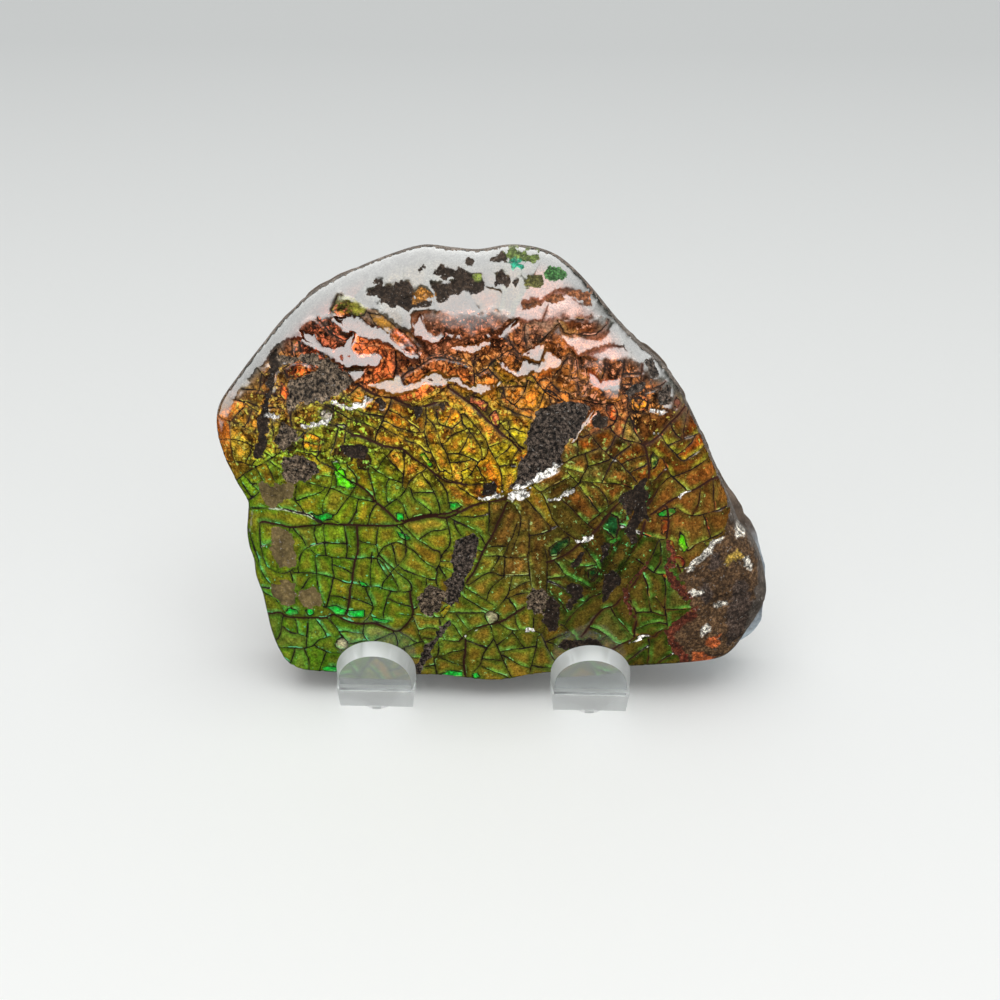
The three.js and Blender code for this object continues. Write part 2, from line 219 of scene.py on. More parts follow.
def onFace(places):  # from a place in the camera's frame, 1000 units across, to u and v on the polished face
    places = np.atleast_2d(np.array(places, float))
    half = cameraSetup["frameSize"] / 2
    rays = (-cameraBack + np.outer((places[:, 0] - half) / focal, cameraRight)
            + np.outer((half - places[:, 1]) / focal, cameraUp))
    height = np.full(len(places), 9.0)
    for _ in range(14):
        reachOut = ((slabFoot - cameraPlace) @ slabOut + height) / (rays @ slabOut)
        hit = cameraPlace + rays * reachOut[:, None]
        spots = np.stack([hit[:, 0], (hit - slabFoot) @ slabUp], 1)
        height = 0.5 * height + 0.5 * faceHeight(spots)
    return spots


def paths(texts):  # each "x,y x,y" as the camera sees it
    places = [[tuple(float(n) for n in pair.split(",")) for pair in text.split()] for text in texts]
    spots = onFace([place for line in places for place in line])
    return np.split(spots, np.cumsum([len(line) for line in places])[:-1])


def inRim(spots, margin=0.0):
    arm = spots - middle
    return np.hypot(arm[:, 0], arm[:, 1]) < rimReach(np.arctan2(arm[:, 1], arm[:, 0])) - margin


# seams listed on the face, each with its width in mm
wideSeams = [
    "262,522 280,525 292,527 305,526 325,524 342,525 355,525 380,526 398,525 408,522 420,519 432,517 446,518 458,513 470,507 482,503 494,501 505,499",
    "404,521 425,515 447,514 462,507",
    "357,484 368,492 377,503 388,512 397,521",
    "267,612 280,613 287,617 300,618 313,618 325,618 333,615 340,618 349,622 362,624 375,624 387,628 398,631 408,622 413,612 411,600",
    "357,383 366,390 378,396 392,398 401,402 408,405 418,407 428,406 437,403 447,403",
    "352,435 362,437 372,441 380,445 392,448 402,449 410,456 420,463 430,470 438,476 446,481 456,483 466,485",
    "459,396 468,402 478,411 486,419 494,425 501,433 509,439 516,446 521,452",
    "507,503 502,515 497,526 491,538 484,550 479,561 474,572 468,580 462,592",
    "552,561 562,557 573,549 583,541 591,535 598,528 603,521 610,512 622,500 632,488",
    "580,638 586,631 592,622 598,614 604,609 614,606 620,600 628,591 634,583 640,575 648,567",
    "612,650 620,645 629,641 636,637 645,635 654,637 659,632 668,628",
    "627,594 631,603 635,612 636,622 634,632 635,638",
    "459,642 465,635 473,629 484,626 495,624 505,620 514,614 524,608",
    "466,642 465,655 464,665 466,677",
    "643,446 652,441 660,434 668,425 676,417",
    "645,447 648,460 649,472 648,485 648,500 646,515",
    "655,512 668,503 676,498 684,493 695,489 705,483 713,478 720,476",
    "357,527 358,540 358,552 355,561 353,572 352,581 350,590 349,602 347,613",
    "667,508 669,520 668,530 667,540 672,548 674,558 680,570 684,582 690,595",
]
cellSeams = [
    "236,480 247,472 258,466 272,458 283,451 288,449 300,437 308,431 318,425 330,424 345,430 352,435",
    "288,450 303,453 313,455 320,462 330,467 338,472 347,479 357,484",
    "300,480 313,484 320,486 333,489 343,493 350,496 358,499 370,501 377,503",
    "357,484 352,492 347,499", "333,474 330,489 324,500 322,511", "350,469 356,477 357,484",
    "285,509 297,512 308,514 313,517 322,522 330,519 343,525", "245,505 262,508 282,509",
    "312,551 317,555 325,555 332,557 342,558 355,559 368,558 378,559 384,564 388,570",
    "303,573 318,574 330,577 338,579 346,583 355,584 362,586 369,587 378,587 386,590 396,592 410,592",
    "333,580 331,590 328,600 326,608", "324,525 324,535 325,545 326,555",
    "315,557 316,567 317,578 319,590 322,600 326,608", "260,523 260,540 262,553 266,565 271,569 279,573 286,573 293,569",
    "372,552 371,562 370,572 371,586", "377,557 381,551 386,546 397,542 406,546",
    "380,556 386,562 394,569 402,576 410,583 412,590", "406,546 406,552 405,557 400,563 394,569 388,577 383,583 382,590",
    "397,527 405,536 406,546 414,551 420,558 426,563 432,566", "405,528 418,540 425,544 432,549 440,552 440,562",
    "448,526 450,537 449,546 443,554 440,562 436,570", "480,535 484,542 487,548", "517,524 513,536 509,542 507,549 503,556",
    "487,556 503,556 510,558 528,557", "478,579 486,574 494,573 502,576 515,576 529,575", "499,558 494,567 490,573",
    "505,558 504,576", "529,520 529,545 528,557 530,575 532,595 533,615",
    "545,549 547,560 547,580 546,600 545,618", "549,502 558,500 566,494 575,487 582,482",
    "563,501 571,508 578,516 586,523 595,530", "600,514 608,507 616,500 625,491", "600,483 620,484 632,488",
    "553,560 559,566 565,575 573,579 582,583 590,588", "548,580 556,578 565,577", "549,593 556,598 562,605 567,612",
    "612,545 608,555 603,566 597,574 591,581", "640,533 650,537 660,540 667,539", "636,559 643,564 650,570 657,574 666,574",
    "664,578 666,590 665,603 666,615 668,628", "655,597 660,603 665,610", "662,458 667,468 671,476 680,484",
    "673,477 682,474 690,470", "677,508 683,513 692,516 702,515 712,512 720,510", "713,480 714,500 715,510",
    "688,551 697,544 708,540 718,535 724,531", "612,610 617,618 624,626 630,633 635,638",
    "413,617 417,627 420,637 427,646", "400,614 416,615 430,617 444,618", "500,624 506,628 515,631 525,630 536,632 541,634",
    "441,640 450,641 460,641", "434,660 438,676", "491,628 494,640 499,650 504,662 511,676", "497,645 504,640 511,634",
    "538,636 536,648 533,660 530,671", "541,634 546,646 553,658", "282,622 280,635 276,640", "308,620 307,634",
    "279,647 290,648 302,648 312,646 320,640 330,636", "320,649 330,653 339,653", "326,653 323,661 320,669",
    "293,656 290,664", "384,508 392,502 400,497 406,489 409,482 417,475 425,470", "428,483 433,491 438,501 440,513",
    "411,490 414,499 421,504 428,509", "397,500 403,506 406,514 409,520", "489,503 489,522",
    "426,408 426,420 424,430 426,440 430,450 434,459 438,468", "427,418 434,426 438,435 442,445 447,455 450,465 453,478",
    "447,454 458,454 468,457 476,461", "445,443 451,436 458,432 465,430", "463,424 470,432 476,440 481,449 482,458",
    "470,420 478,429 485,438 488,447 487,455 482,461", "487,455 479,462 474,469 470,476 462,481",
    "404,450 404,465 403,480", "391,400 388,409 384,417 380,427 376,435 375,442", "345,405 356,410 368,414 383,416",
    "488,447 493,455 497,463 501,472 502,484", "500,423 506,430 513,438 520,446 526,449",
    "570,356 562,365 555,375 549,385 543,396 539,408", "531,374 538,383 545,392 553,398 563,405",
    "548,390 558,396 566,404", "590,402 602,404 612,402 622,399 634,396 645,392", "625,358 624,368 622,380 622,396",
    "600,430 607,427 614,424", "611,429 618,436 628,441 641,444", "594,439 602,449 611,457",
    "631,445 622,452 614,459 608,470 603,480", "616,459 624,467 633,477", "580,455 589,452 598,449",
    "568,461 575,457 580,455", "585,454 588,466 584,474 578,484", "567,468 585,474", "570,475 577,483", "588,467 600,463",
    "577,440 578,455", "663,438 668,446 675,453 683,461 692,455 700,450 704,446", "228,397 240,401 248,406 257,411",
    "226,420 236,423 246,428 256,433", "219,439 232,439 244,442 256,448", "226,460 240,462 250,465 259,466",
    "304,434 303,443 304,452", "320,441 318,455", "337,433 334,445 330,455", "376,558 384,572", "345,530 347,545 346,558",
]
slabFeatures = {
    "wideHalf": 0.24, "wideDepth": 0.1,
    "cellHalf": 0.15, "cellDepth": 0.045,
    "patchHalf": 0.11, "patchDepth": 0.03,
    "hairHalf": 0.1, "hairDepth": 0.025,
    "wander": 0.05,  # how far a seam strays from its smooth line
    "sampleSpacing": 0.24,
}

# ledges whose upper side catches the light from above
litPatches = {
    "crown": "150,430 215,424 222,412 229,406 236,395 243,384 252,376 259,367 270,356 276,346 283,340 290,337 302,340 300,331 301,323 310,318 320,316 328,313 331,300 336,294 340,291 352,297 366,307 376,311 385,318 395,325 411,333 413,316 420,313 440,311 460,310 475,311 487,308 492,306 505,309 512,314 518,319 525,322 541,322 556,320 575,318 597,316 605,315 612,322 618,330 624,345 630,352 640,362 648,360 654,366 661,372 668,380 674,390 690,396 800,400 800,150 150,150",
    "secondBand": "328,313 345,317 357,313 361,320 370,324 382,327 390,333 398,345 410,352 418,356 414,361 405,356 392,348 384,345 375,342 362,338 352,333 343,326 336,320",
    "raggedBand": "299,331 305,330 315,334 316,341 324,346 334,352 345,340 352,334 352,345 358,358 368,356 378,358 376,366 366,368 362,378 356,384 350,375 344,366 334,362 324,354 312,346 303,340",
    "ovalLip": "297,377 303,379 310,376 308,381 302,382",
    "hookGlint": "331,397 337,401 345,403 352,404 360,401 367,396 373,398 368,402 361,407 352,408 342,405 334,403",
    "tickGlint": "262,413 268,412 275,416 280,412 277,418 273,420 267,418",
    "smileGlint": "302,424 310,425 318,421 326,414 332,415 328,420 320,424 312,428 304,428",
    "sparLine": "420,313 425,334 438,339 442,336 440,342 432,345 420,343 411,336",
    "crumb": "446,332 453,333 460,333 459,338 450,338",
    "lensBand": "452,347 462,343 475,345 484,341 490,341 480,352 470,355 458,352",
    "hook": "488,330 492,335 500,334 506,326 517,319 516,323 506,333 498,341 490,340 487,334",
    "scallop": "367,386 376,382 388,380 398,380 404,388 412,384 420,377 430,372 440,371 448,375 457,376 462,383 470,385 480,385 490,386 501,379 497,387 490,392 480,397 470,394 460,388 448,383 435,381 424,381 414,392 400,394 385,393 374,390",
    "bowlRim": "496,352 502,362 510,371 519,374 520,365 523,352 535,346 539,343 538,352 546,350 556,356 562,360 560,368 548,373 535,374 522,378 508,374 500,365",
    "broadBand": "562,337 572,338 582,337 590,336 598,338 604,333 612,325 620,322 626,330 633,340 640,346 636,352 626,357 612,358 600,358 590,356 578,357 568,350",
    "star": "588,366 594,372 600,378 620,379 616,384 604,387 594,388 590,380",
    "glintLens": "561,408 568,406 575,406 580,409 574,412 564,411",
    "matrixRim": "593,409 596,411 592,418 588,424 584,432 575,441 568,445 570,440 578,433 583,425 588,416",
    "silverLip": "480,500 490,498 500,494 504,494 500,498 490,502 484,503",
    "silverTongue": "506,497 514,494 524,490 532,489 528,495 520,500 511,503",
    "silverEdge": "512,490 522,484 534,479 546,473 556,466 560,470 552,476 540,481 528,486 516,491",
    "rightGlint": "650,411 656,411 664,409 669,411 664,413 655,414",
    "smallGlint": "648,428 654,430 659,430 660,432 654,432",
    "chipGlint": "550,501 556,498 564,493 573,487 575,489 566,496 558,501",
    "forkGlint": "575,542 582,538 588,535 592,534 592,537 586,539 578,543",
    "shelfGlint": "676,497 684,493 692,490 692,492 685,495 678,499",
    "brightLip": "461,640 466,634 473,629 478,628 476,630 469,635 465,639",
    "midGlint": "523,630 530,630 536,631 536,633 528,632",
    "crossGlint": "637,636 645,637 650,637 648,639 640,640 632,643 627,645 630,642",
}

# worn places where no shell is left: dark brown or grey shale, rough. The pale #c4beb2 patches are painted highlights,
# and the dark patch in the cleft is painted shade.
barePatches = {
    "#2a2018": [
        "365,295 371,290 374,286 381,287 394,288 396,282 403,280 412,284 414,291 412,297 419,299 433,299 433,304 422,306 415,308 408,309 396,307 381,306 382,300 375,297",
        "374,280 379,278 387,281 386,286 379,285 374,283",
        "434,276 439,272 443,267 448,269 453,271 462,270 472,274 484,279 485,291 470,293 460,292 459,297 446,300 433,300 433,292 434,286 441,284 450,285 457,283 452,278 446,278",
        "339,445 346,441 353,444 361,442 369,449 367,457 358,460 348,457", "375,399 384,399 385,407 377,409",
        "412,408 421,407 423,415 415,418", "436,402 443,404 444,412 437,411",
        "465,260 470,257 478,260 477,264 470,265", "487,261 491,255 498,254 507,256 508,262 501,264 494,263",
        "493,276 500,273 507,274 509,280 505,285 496,285", "510,280 520,275 519,281 513,283",
        "417,274 422,268 427,264 430,265 425,269 421,273",
        "272,352 279,352 279,362 275,375 273,388 268,398 266,408 261,408 262,398 266,390 267,375 268,362",
        "262,398 267,400 267,430 267,445 263,458 259,462 255,455 256,440 257,428",
        "594,410 601,408 606,418 605,428 597,430 592,424", "601,605 604,593 602,585 606,577 617,571 621,577 616,589 608,600",
        "545,600 552,592 559,604 560,618 556,632 548,634 544,622",
        # Painted shade: the next patch paints the deep shade of the dark cleft as near-black stone.
        "634,490 640,480 647,478 649,500 647,518 640,525 636,540 630,545 626,530 632,515 630,500",
        "601,543 608,545 609,556 604,567 598,567 603,556", "565,583 578,585 585,592 577,602 570,613 565,606 571,597 566,591",
        "556,646 566,640 580,639 596,640 607,645 600,650 584,646 568,649", "619,498 628,489 635,491 633,503 630,516 622,509",
        "571,567 577,558 584,551 583,557 577,565 573,569", "484,486 492,484 500,488 499,494 490,497 481,498",
    ],
    "#553f2a": [
        "724,531 719,537 715,542 710,549 705,555 701,560 694,562 687,566 684,568 680,577 684,586 690,597 693,604 690,612 682,617 676,624 668,632 672,645 678,655 682,672 745,680 785,640 785,560 745,505 728,520",
    ],
    "#453830": ["733,585 742,578 750,590 750,608 744,625 736,640 728,645 730,625 727,610 731,598",
                "700,590 708,585 712,595 706,605 700,600", "712,556 720,552 724,562 716,570 710,566"],
    "#574e46": ["723,478 727,492 729,507 734,520 747,534 757,551 759,573 755,596 748,618 740,640 723,657 705,667 700,690 800,680 800,480"],
    # Painted highlights: these pale streaks and spots stand in for glints of light on the matrix.
    "#c4beb2": ["687,566 693,559 700,555 706,549 712,541 719,536 721,539 714,546 708,553 702,559 694,563 689,568",
                "735,527 744,526 743,532 736,531", "716,602 725,603 724,607 717,607", "689,590 700,592 699,596 690,595",
                "742,560 752,566 751,570 742,566", "700,632 706,626 709,628 703,635"],
    "#a88a3c": ["728,565 736,549 744,560"],
    "#a8562c": ["693,655 702,652 710,660 704,665 695,663", "708,640 716,638 718,644 710,645"],
    "#8e2a22": ["680,655 688,657 686,665 681,664"],
    "#5c2c1c": ["668,633 672,634 680,646 688,664 682,665 676,654 669,643", "624,588 627,588 630,599 636,611 638,621 634,619 629,607 624,596",
                "662,632 672,626 680,617 687,610 698,608 696,614 688,621 679,629 668,636",
                "664,540 669,541 675,553 672,567 676,578 684,588 691,597 692,606 686,601 677,592 669,583 667,568 669,556",
                "648,561 650,563 640,574 628,588 626,586 637,573"],
    "#5a6a30": ["505,255 512,252 522,251 532,254 540,257 536,262 524,260 512,262"],
    "#2a9474": ["509,264 515,261 523,262 522,268 514,269"],
    "#a8702c": ["413,292 419,289 427,290 432,293 432,297 425,296 420,300 416,299"],
    "#7c8a3c": ["473,275 479,272 484,275 481,280 475,280"],
    "#5c5a2c": ["523,280 528,275 536,275 542,281 541,288 530,289 523,287"],
    "#3e6c38": ["541,272 548,267 558,268 568,273 570,278 562,284 550,284 544,280"],
    "#7a4a2c": ["519,301 530,300 542,301 542,306 530,308 519,306", "544,297 554,295 563,296 562,303 550,304 544,302",
                "565,290 576,290 586,294 597,302 590,304 578,298 566,296"],
    "#3f362f": [
        "541,408 555,405 563,403 576,404 590,408 585,418 582,430 572,441 566,445 563,455 562,466 550,476 534,482 516,490 509,492 513,482 518,470 521,460 524,450 527,437 530,428 539,411",
        "459,538 466,534 474,533 479,538 480,548 476,560 470,572 465,582 460,594 452,606 444,604 441,595 446,583 455,572 452,560 455,548",
        "414,676 414,666 421,655 428,645 434,635 441,628 447,620 453,622 445,632 438,642 432,655 424,666 418,676",
        "646,361 651,359 656,364 661,369 659,375 652,376 648,370", "659,392 663,387 670,386 673,392 672,400 666,406 660,404 658,398",
        "624,396 632,388 642,384 652,382 650,388 640,394 630,398",
    ],
    "#584b3d": [
        "290,382 300,381 315,372 318,360 330,362 345,370 352,380 345,390 332,396 330,402 318,405 300,404 291,408 285,410 284,402 289,392",
        "281,421 286,422 299,433 300,436 288,449 278,452 277,436", "278,356 290,354 305,354 318,352 320,360 312,366 300,361 286,362 279,368",
        "421,597 427,589 436,587 444,590 443,600 438,610 430,616 422,613",
        "529,590 538,588 545,592 544,612 536,616 531,608",
        "279,459 291,456 305,458 316,462 318,472 309,481 294,484 282,478",
    ],
    "#75643f": [
        "270,528 284,527 290,533 292,545 296,556 297,565 288,570 276,567 271,555 270,540",
        "262,486 275,482 292,482 294,492 285,504 270,507 262,503", "272,586 284,580 294,586 297,598 292,608 282,609 274,599",
        "300,592 311,585 319,592 322,605 309,610 300,606",
    ],
}

shellZones = [  # name, place, reach, colour at cell edges, in their middles, of lips and sparks, how busy
    # Painted reflection in part: the crown and rosy zones get pale grey and pale pink shell colours where the coat's
    # reflection lies over them.
    ("pale crown", (420, 285), 55, "#5e5d52", "#625a48", "#b7bda0", 0.1),
    ("green crown", (540, 285), 45, "#5c5c46", "#6a5844", "#a9b48a", 0.2),
    ("copper left", (330, 345), 40, "#38200f", "#5e2c17", "#ff8458", 1.0),
    ("copper middle", (450, 335), 55, "#3a2010", "#602e18", "#ff8860", 1.0),
    ("copper ridge", (530, 335), 30, "#4a2412", "#7a381c", "#ff9458", 1.0),
    ("rosy crown", (560, 302), 26, "#b47c6e", "#bc8474", "#ffc8b0", 0.2),
    ("rosy band", (603, 344), 16, "#c48474", "#d0907c", "#ffc8b0", 0.2),
    ("copper right", (590, 365), 45, "#7c4628", "#b26236", "#ffa880", 0.9),
    ("left shoulder", (235, 410), 30, "#a47420", "#a87020", "#f0e060", 0.85),
    ("left edge", (221, 425), 14, "#d85a2a", "#e47434", "#ffb878", 0.6),
    ("left inner", (290, 400), 35, "#6a4016", "#7c501c", "#f0c050", 0.95),
    ("rust middle", (400, 365), 35, "#803a1a", "#c05a28", "#ff9850", 0.95),
    ("gold scallops", (470, 375), 35, "#704019", "#a85e20", "#ffc050", 0.95),
    ("orange bowl", (545, 390), 35, "#a0701f", "#dc8028", "#ffb860", 0.85),
    ("gold middle", (430, 425), 45, "#867016", "#a0601a", "#fff050", 0.85),
    ("gold heart", (480, 450), 40, "#867012", "#98581a", "#fff850", 0.8),
    ("brown right", (640, 385), 40, "#3e2612", "#5a3819", "#ff9a4c", 1.0),
    ("olive right", (690, 440), 40, "#5c4414", "#824516", "#d8e060", 0.6),
    ("olive left", (320, 440), 45, "#6c6c1a", "#7c581a", "#d8ff50", 0.9),
    ("green left", (330, 500), 50, "#627e14", "#847818", "#98ff80", 0.6),
    ("green field", (330, 560), 60, "#4e7212", "#6e6c18", "#80ffb0", 0.4),
    ("green foot", (300, 640), 45, "#466a0f", "#646c1a", "#80ffb0", 0.4),
    ("olive field", (430, 545), 45, "#5a6e1a", "#866a1a", "#a8ff80", 0.5),
    ("olive foot", (480, 650), 50, "#526018", "#7a601c", "#a8ff90", 0.45),
    ("umber middle", (540, 540), 40, "#564c19", "#6e4e1e", "#d0e890", 0.6),
    ("olive east", (610, 460), 40, "#54461a", "#824c1a", "#c8e070", 0.7),
    ("moss east", (600, 560), 45, "#26380e", "#523e14", "#80ff90", 0.55),
    ("dark crumbs", (600, 572), 20, "#1e2c0c", "#382a10", "#80ff90", 0.8),
    # Painted shade: the dark cleft's near-black colours stand for shade.
    ("dark cleft", (638, 503), 14, "#1e2a0c", "#30240e", "#70ff90", 0.85),
    ("moss foot", (640, 620), 50, "#34460f", "#5c4a18", "#90ff90", 0.35),
    ("amber east", (695, 510), 35, "#5a481a", "#74481a", "#d0f080", 0.5),
]

tintPatches = {  # cells that differ from their neighbours
    "#b4501c": ["283,368 292,362 302,361 312,366 316,372 308,377 297,378 288,378", "281,382 287,386 290,398 284,402 280,394",
                "606,405 614,404 618,412 616,422 610,420", "661,520 668,521 669,530 663,535", "666,540 672,541 675,548 669,549",
                "660,574 668,575 675,577 668,580", "633,400 641,403 648,398 647,408 640,412 634,408"],
    "#c0702a": ["503,388 505,397 511,404 520,408 533,410 536,416 528,416 515,412 505,407 501,398",
                "527,380 537,383 545,390 555,397 563,404 569,403 570,393 560,391 552,384 545,378 535,384",
                "577,382 584,380 588,388 584,396 578,392", "572,358 577,360 577,377 572,378"],
    "#d06a40": ["470,396 480,399 489,404 486,412 478,406 471,402", "489,416 496,410 500,418 499,428 493,424",
                "676,397 680,402 678,409 674,406"],
    "#b09a1c": ["507,430 515,428 527,434 524,449 518,446 510,437", "500,423 508,421 510,430 504,430",
                "444,470 452,474 452,481 444,478", "461,472 468,467 472,472 462,481", "445,607 451,604 448,613 443,618 440,612"],
    # Painted highlights: the bright mint and lime green cells that follow stand for flashes of light off the shell.
    "#20c840": ["285,613 290,609 297,610 298,614 291,616", "305,611 311,609 314,613 309,616", "327,607 336,606 345,610 344,616 336,615",
                "345,610 355,611 365,610 364,617 354,618 346,617", "372,617 382,619 392,621 384,623 373,621",
                "396,531 402,533 410,538 407,540 400,537", "396,513 403,513 404,519 399,521", "450,503 458,502 462,507 455,511 449,509",
                "657,514 664,510 674,508 677,512 670,516 660,517", "609,540 616,538 617,541 613,545 609,543",
                "311,513 318,515 326,512 334,514 332,519 322,521 315,517", "358,581 364,583 368,587 362,587",
                "282,655 288,660 291,664 286,662", "322,668 332,667 340,668 339,672 324,671", "440,674 450,671 462,672 462,676 442,677",
                "472,674 477,673 480,677 475,679"],
    "#62e012": ["334,471 343,470 348,480 356,486 350,489 336,486", "331,462 338,461 342,468 337,470", "420,455 424,452 434,466 430,468",
                "680,532 684,536 688,548 684,552 678,544"],
    "#9e1f22": ["673,557 680,556 686,562 684,568 677,567 673,562", "668,630 672,636 678,646 680,655 676,652 671,645",
                "673,628 680,622 685,626 687,634 683,638 677,634", "692,612 697,609 700,615 696,619 692,618"],
    # Painted shade: these cells are painted dark green-black where the face looks shaded.
    "#143c1c": ["549,548 557,542 568,538 570,544 562,550 555,556 549,556", "603,518 610,513 618,517 620,527 616,537 608,532 602,526",
                "588,570 596,568 598,576 592,582 588,578", "653,452 660,458 656,466 651,470 650,460"],
    "#562c14": ["557,318 575,319 597,317 606,316 610,321 603,329 596,335 580,335 562,334"],
    "#6e6a24": ["338,293 351,297 367,308 364,315 340,316 331,311"],
    "#a0702a": ["369,313 384,317 396,327 388,335 373,323"],
    "#c05a28": ["396,327 404,334 419,348 417,357 403,348 390,337"],
    "#d4901c": ["303,434 312,434 322,441 320,452 308,452 302,444"],
    "#cc8418": ["436,410 446,406 458,410 462,420 452,428 440,424", "632,399 640,397 648,402 648,410 640,414 632,408"],
    "#3a2a12": ["335,449 345,447 355,452 352,462 340,463 334,457", "356,455 366,453 372,460 368,470 358,468"],
    # Painted highlights: these near-white cells stand for glints of light.
    "#e8dcc8": ["320,411 327,408 333,413 330,422 322,422", "336,425 344,423 347,427 340,429"],
    "#b0a882": ["337,640 343,636 348,641 347,649 340,650 336,646", "485,614 491,611 498,614 498,621 490,624 486,620"],
}
print("marks read")


def insidePath(spots, corners):
    inside = np.zeros(len(spots), bool)
    for (u0, v0), (u1, v1) in zip(corners, np.roll(corners, -1, axis=0)):
        if v0 == v1:
            continue
        crosses = (spots[:, 1] < v0) != (spots[:, 1] < v1)
        inside ^= crosses & (spots[:, 0] < u0 + (spots[:, 1] - v0) * (u1 - u0) / (v1 - v0))
    return inside


rimLoop = evenly(np.vstack([rimCurve, rimCurve[:1]]), slab["ringSpacing"])[:-1]
if np.cross(rimLoop[1] - rimLoop[0], middle - rimLoop[0]) < 0:
    rimLoop = rimLoop[::-1]  # anticlockwise, seen from the front

# seams: traced ones first, then cracks grown between them until no cell is too big
seamDice = np.random.default_rng(41)
seams = []  # each: spots, half width, depth


def laySeam(spots, half, depth, wander):
    spots = evenly(spots, slabFeatures["sampleSpacing"])
    sway = np.convolve(seamDice.normal(0, 1, len(spots) + 4), np.ones(5) / 5, "valid") * wander
    along = np.gradient(spots, axis=0)
    along /= np.hypot(*along.T)[:, None] + 1e-9
    fixed = np.minimum(np.arange(len(spots)), np.arange(len(spots))[::-1]) / 3
    spots = spots + np.stack([-along[:, 1], along[:, 0]], 1) * (sway * np.clip(fixed, 0, 1))[:, None]
    seams.append((spots, half, depth))


def nearestOf(spot, others):
    gaps = np.hypot(*(others - spot).T)
    return int(np.argmin(gaps)), float(gaps.min())


def runOn(line, others):  # carries the end of a line on until it meets another seam or the rim
    heading = line[-1] - line[-3]
    heading /= np.hypot(*heading)
    added = []
    spot = line[-1]
    for _ in range(12):
        ahead = others[((others - spot) @ heading > -0.05)]
        index, gap = nearestOf(spot, ahead)
        if gap < 0.5:
            return np.vstack([line] + added + [ahead[index][None]])
        if not inRim(spot[None])[0]:
            return np.vstack([line] + added)
        spot = spot + 0.24 * heading
        added.append(spot[None])
    return line


litNames = list(litPatches)
litOutlines = dict(zip(litNames, paths(litPatches.values())))
bareCodes = [code for code, texts in barePatches.items() for _ in texts]
bareOutlines = list(zip(bareCodes, paths([text for texts in barePatches.values() for text in texts])))
tintCodes = [code for code, texts in tintPatches.items() for _ in texts]
tintOutlines = list(zip(tintCodes, paths([text for texts in tintPatches.values() for text in texts])))
for outline in litOutlines.values():  # only where a facet turns, so it is not cut as a crack
    laySeam(np.vstack([outline, outline[:1]]), slabFeatures["patchHalf"], 0.0, 0.3)
for _, outline in tintOutlines:
    laySeam(np.vstack([outline, outline[:1]]), slabFeatures["patchHalf"], slabFeatures["patchDepth"], 0.16)
traced = [(curveThrough(line, 8, False), name)
          for name, group in (("wide", wideSeams), ("cell", cellSeams)) for line in paths(group)]
everySpot = [spots for spots, _, _ in seams] + [line for line, _ in traced]
for index, (line, name) in enumerate(traced):
    others = np.vstack([spots for k, spots in enumerate(everySpot) if k != len(everySpot) - len(traced) + index] + [rimLoop])
    line = runOn(line, others)
    line = runOn(line[::-1], others)[::-1]
    laySeam(line, slabFeatures[name + "Half"], slabFeatures[name + "Depth"], slabFeatures["wander"])


def cellRadius(spots):  # the widest circle that may stay whole, in mm
    lower = smooth(30, 22, spots[:, 1])
    crown = 0.2 * smooth(29, 33, spots[:, 1]) + 3 * smooth(41, 44, spots[:, 1])
    return 0.86 + 0.2 * lower + 0.25 * crown + 0.3 * smooth(2, 14, spots[:, 0]) * smooth(26, 20, spots[:, 1])


laid = np.vstack([spots for spots, _, _ in seams])
print("traced seam samples", len(laid))
gridU, gridV = np.meshgrid(np.arange(-34, 37, 0.7), np.arange(-4, 52, 0.7))
openSpots = np.stack([gridU.ravel(), gridV.ravel()], 1) + seamDice.uniform(-0.3, 0.3, (gridU.size, 2))
openSpots = openSpots[inRim(openSpots)]


def distances(spots, targets):
    best = np.full(len(spots), np.inf)
    for part in np.array_split(targets, max(len(targets) // 400, 1)):
        gaps = np.hypot(spots[:, None, 0] - part[None, :, 0], spots[:, None, 1] - part[None, :, 1])
        best = np.minimum(best, gaps.min(1))
    return best


room = distances(openSpots, np.vstack([laid, rimLoop]))
radii = cellRadius(openSpots)
grown = 0
while True:
    pick = int(np.argmax(room / radii))
    if room[pick] < radii[pick]:
        break
    start = openSpots[pick]
    index, _ = nearestOf(start, laid)
    heading = math.atan2(*(laid[index] - start)[::-1]) + seamDice.normal(0, 0.35)
    arms = []
    for way in (0, math.pi):
        spot, turn, arm = start.copy(), heading + way, []
        for _ in range(60):
            turn += seamDice.normal(0, 0.1)
            spot = spot + 0.24 * np.array([math.cos(turn), math.sin(turn)])
            arm.append(spot)
            index, gap = nearestOf(spot, laid)
            if gap < 0.24:
                arm.append(laid[index])
                break
            if not inRim(spot[None])[0]:
                break
        arms.append(arm)
    crack = np.array(arms[0][::-1] + [start] + arms[1])
    laySeam(crack, slabFeatures["hairHalf"] * seamDice.uniform(0.8, 1.5), slabFeatures["hairDepth"], 0.03)
    laid = np.vstack([laid, seams[-1][0]])
    near = np.abs(openSpots - crack.mean(0)).max(1) < 12
    room[near] = np.minimum(room[near], distances(openSpots[near], crack))
    room[pick] = 0
    grown += 1
print("cracks grown", grown)


# points of the face: the rim, seam bottoms, seam shoulders, then a jittered field between
def spacedOut(candidates, gaps, taken):  # keeps candidates that are far enough from all kept before them
    cell = 0.5
    kept = []
    for index, (spot, gap) in enumerate(zip(candidates, gaps)):
        key = (int(spot[0] // cell), int(spot[1] // cell))
        clear = True
        for i in (-1, 0, 1):
            for j in (-1, 0, 1):
                for other in taken.get((key[0] + i, key[1] + j), ()):
                    if (other[0] - spot[0]) ** 2 + (other[1] - spot[1]) ** 2 < gap * gap:
                        clear = False
                        break
                if not clear:
                    break
            if not clear:
                break
        if clear:
            taken.setdefault(key, []).append((spot[0], spot[1]))
            kept.append(index)
    return kept


